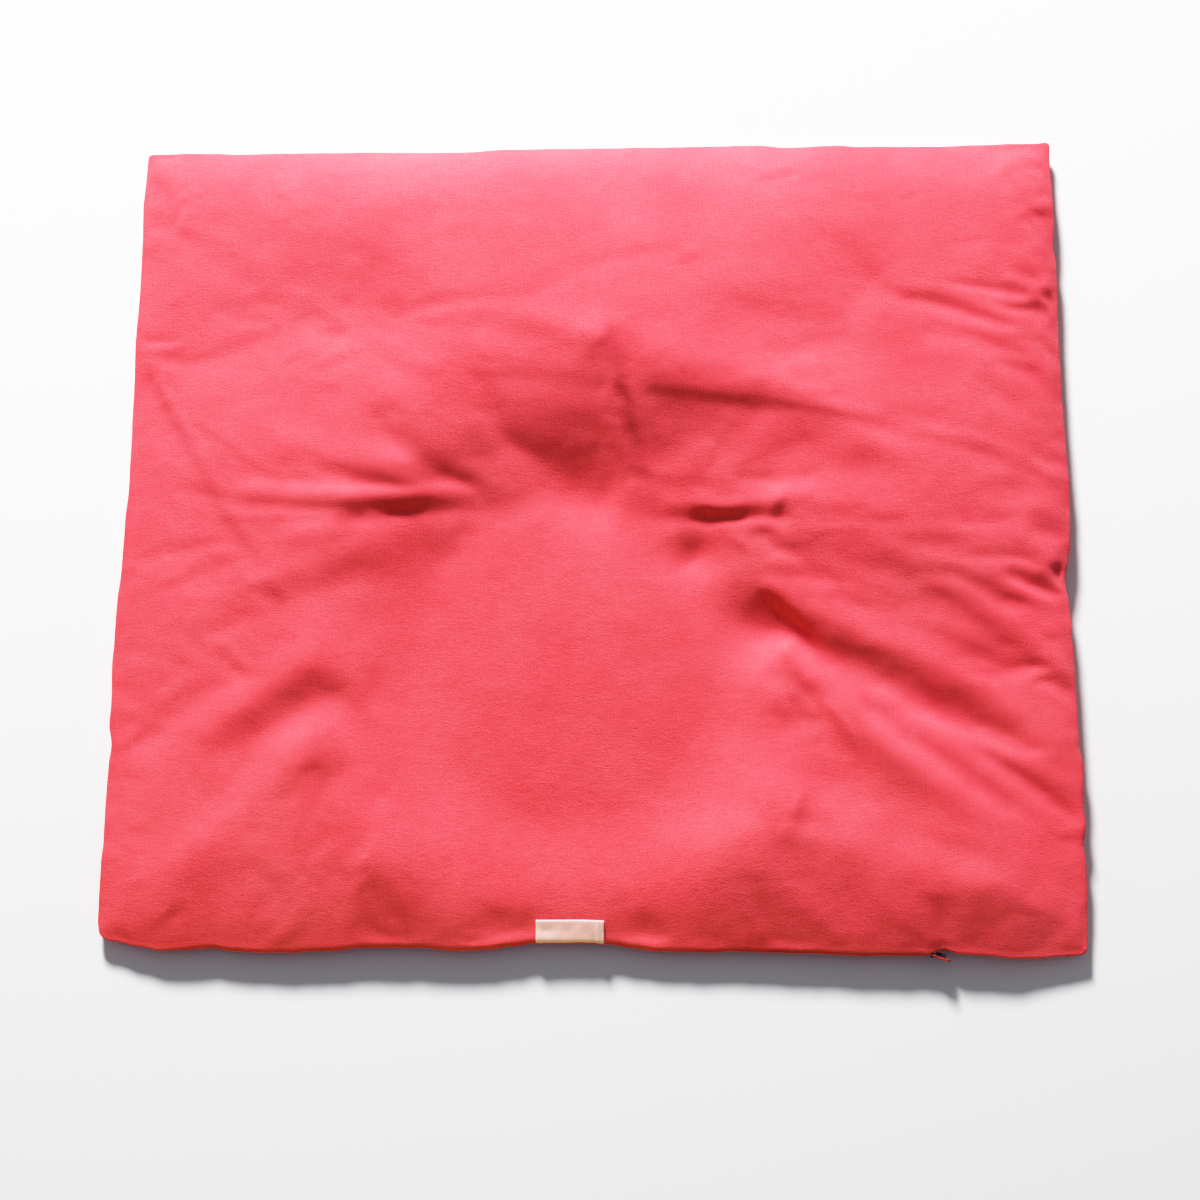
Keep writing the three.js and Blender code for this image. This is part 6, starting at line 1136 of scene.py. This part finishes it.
def build_pull():
    l, t, neck = PULL["length"], PULL["tall"], PULL["neck"]
    arc = [(l - t / 2 + t / 2 * math.cos(a), t / 2 * math.sin(a)) for a in np.linspace(-math.pi / 2, math.pi / 2, 17)]
    tab = [(0, -neck / 2), (l * .35, -neck / 2), (l * .6, -t / 2)] + arc + [(l * .6, t / 2), (l * .35, neck / 2), (0, neck / 2)]
    tab = evened(round_corners(tab, 1.0), 96)
    # two holes: the tab is made of two plates joined along its waist
    cut = l * .30
    body = np.array([p for p in tab if p[0] >= cut])
    k = int(np.argmax(np.linalg.norm(np.diff(np.vstack([body, body[:1]]), axis=0), axis=1)))
    body = evened(np.roll(body, -k - 1, 0), 72)
    eye = np.array([p for p in tab if p[0] <= cut])
    k = int(np.argmax(np.linalg.norm(np.diff(np.vstack([eye, eye[:1]]), axis=0), axis=1)))
    eye = evened(np.roll(eye, -k - 1, 0), 40)

    def around(outline, x, r):
        a = np.arctan2(outline[:, 1], outline[:, 0] - x)
        return np.stack([x + r * np.cos(a), r * np.sin(a)], -1)
    v, f = merged([holed(body, around(body, l - t / 2, PULL["hole"] / 2), 0, PULL["thick"], .3),
                   holed(eye, around(eye, 2.0, PULL["eye"] / 2), .12, PULL["thick"] - .12, .25)])
    return flat_shaded(new_mesh("zip_pull_tab", zip_to_row(v, PULL["ahead"], SLIDER["deep"] + PULL["gap"]), f))


slider = build_slider()
slider.data.materials.append(coated("dark_metal", (0.020, 0.010, 0.009), (0.16, 0.10, 0.08), 0.75, 0.42))
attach(slider, "root")
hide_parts("zip_slider")
pull = build_pull()
pull.data.materials.append(coated("red_coat", (0.34, 0.034, 0.036), (0.50, 0.14, 0.13), 0.05, 0.38))
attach(pull, "root")
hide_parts("zip_pull")

# ------------------------------------------------------------------ floor, light, camera
def plane(name, half, z):
    ob = new_mesh(name, [(-half, -half, z), (half, -half, z), (half, half, z), (-half, half, z)], [(0, 1, 2, 3)])
    return ob


floor = plane("floor", 9.0, 0.0)
F = Nodes("floor_paper")
F.bsdf.inputs["Base Color"].default_value = (0.84, 0.84, 0.84, 1)
F.bsdf.inputs["Roughness"].default_value = 0.9
F.bsdf.inputs["Specular IOR Level"].default_value = 0.1
floor.data.materials.append(F.mat)


def area(name, pos, aim, size, power, colour):
    d = bpy.data.lights.new(name, "AREA")
    d.shape = "DISK"
    d.size = size
    d.energy = power
    d.color = colour
    o = bpy.data.objects.new(name, d)
    bpy.context.scene.collection.objects.link(o)
    o.location = pos
    o.rotation_euler = (Vector(aim) - Vector(pos)).to_track_quat("-Z", "Y").to_euler()
    return o


area("key", (-0.58, 2.86, 1.45), (0, 0, 0), 0.6, 154, (1.0, 0.985, 0.975))
low = area("front_bounce", (-0.16, -0.85, 0.20), (-0.08, -0.3, 0.03), 1.2, 1.3, (0.60, 0.78, 0.02))
low.data.shape = "RECTANGLE"
low.data.size_y = 0.12
# it stands for what the ground gives back, so it reaches the part alone
part_alone = bpy.data.collections.new("part_alone")
for piece in (mat, label, slider, pull):
    part_alone.objects.link(piece)
low.light_linking.receiver_collection = part_alone

world = bpy.data.worlds.new("studio")
bpy.context.scene.world = world
world.use_nodes = True
bg = world.node_tree.nodes["Background"]
sky = world.node_tree.nodes
way = sky.new("ShaderNodeTexCoord")
part = sky.new("ShaderNodeSeparateXYZ")
shade = sky.new("ShaderNodeMapRange")
tint = sky.new("ShaderNodeValToRGB")
world.node_tree.links.new(way.outputs["Generated"], part.inputs[0])
world.node_tree.links.new(part.outputs["Y"], shade.inputs["Value"])
shade.inputs["From Min"].default_value = -1.0
world.node_tree.links.new(shade.outputs["Result"], tint.inputs["Fac"])
# the room is dimmer towards the front
tint.color_ramp.elements[0].position, tint.color_ramp.elements[0].color = 0.25, (0.24, 0.27, 0.37, 1)
tint.color_ramp.elements[1].position, tint.color_ramp.elements[1].color = 0.62, (0.97, 0.98, 1.0, 1)
world.node_tree.links.new(tint.outputs["Color"], bg.inputs["Color"])
bg.inputs["Strength"].default_value = 0.211

cam_data = bpy.data.cameras.new("camera")
cam_data.lens = 45.0
cam_data.sensor_width = 36.0
cam = bpy.data.objects.new("camera", cam_data)
bpy.context.scene.collection.objects.link(cam)
right = Vector((0.99887188, 0.00921918, -0.04658287))
up = Vector((-0.00156246, 0.98682272, 0.16179765))
fwd = Vector((-0.04746068, 0.16154234, -0.98572387))
rot = Matrix((right, up, -fwd)).transposed().to_4x4()
cam.matrix_world = Matrix.Translation((0.06638 + SHIFT_X * MM, -0.24756 + SHIFT_Y * MM, 1.17800)) @ rot
bpy.context.scene.camera = cam

# a photographic tone curve: firm in the darks, with a long shoulder
view = bpy.context.scene.view_settings
view.view_transform = "Standard"
view.use_curve_mapping = True
tone = view.curve_mapping
TONE_GAIN, TONE_POWER, TONE_WHITE = 3.05, 1.5, 1.5
tone.white_level = (TONE_WHITE,) * 3
line = tone.curves[3]
line.points[0].location = (0, 0)
line.points[-1].location = (1, 1)
for k in range(1, 24):
    at = (k / 24) ** 1.9
    line.points.new(at, 1 - math.exp(-(TONE_GAIN * TONE_WHITE * at) ** TONE_POWER))
tone.update()
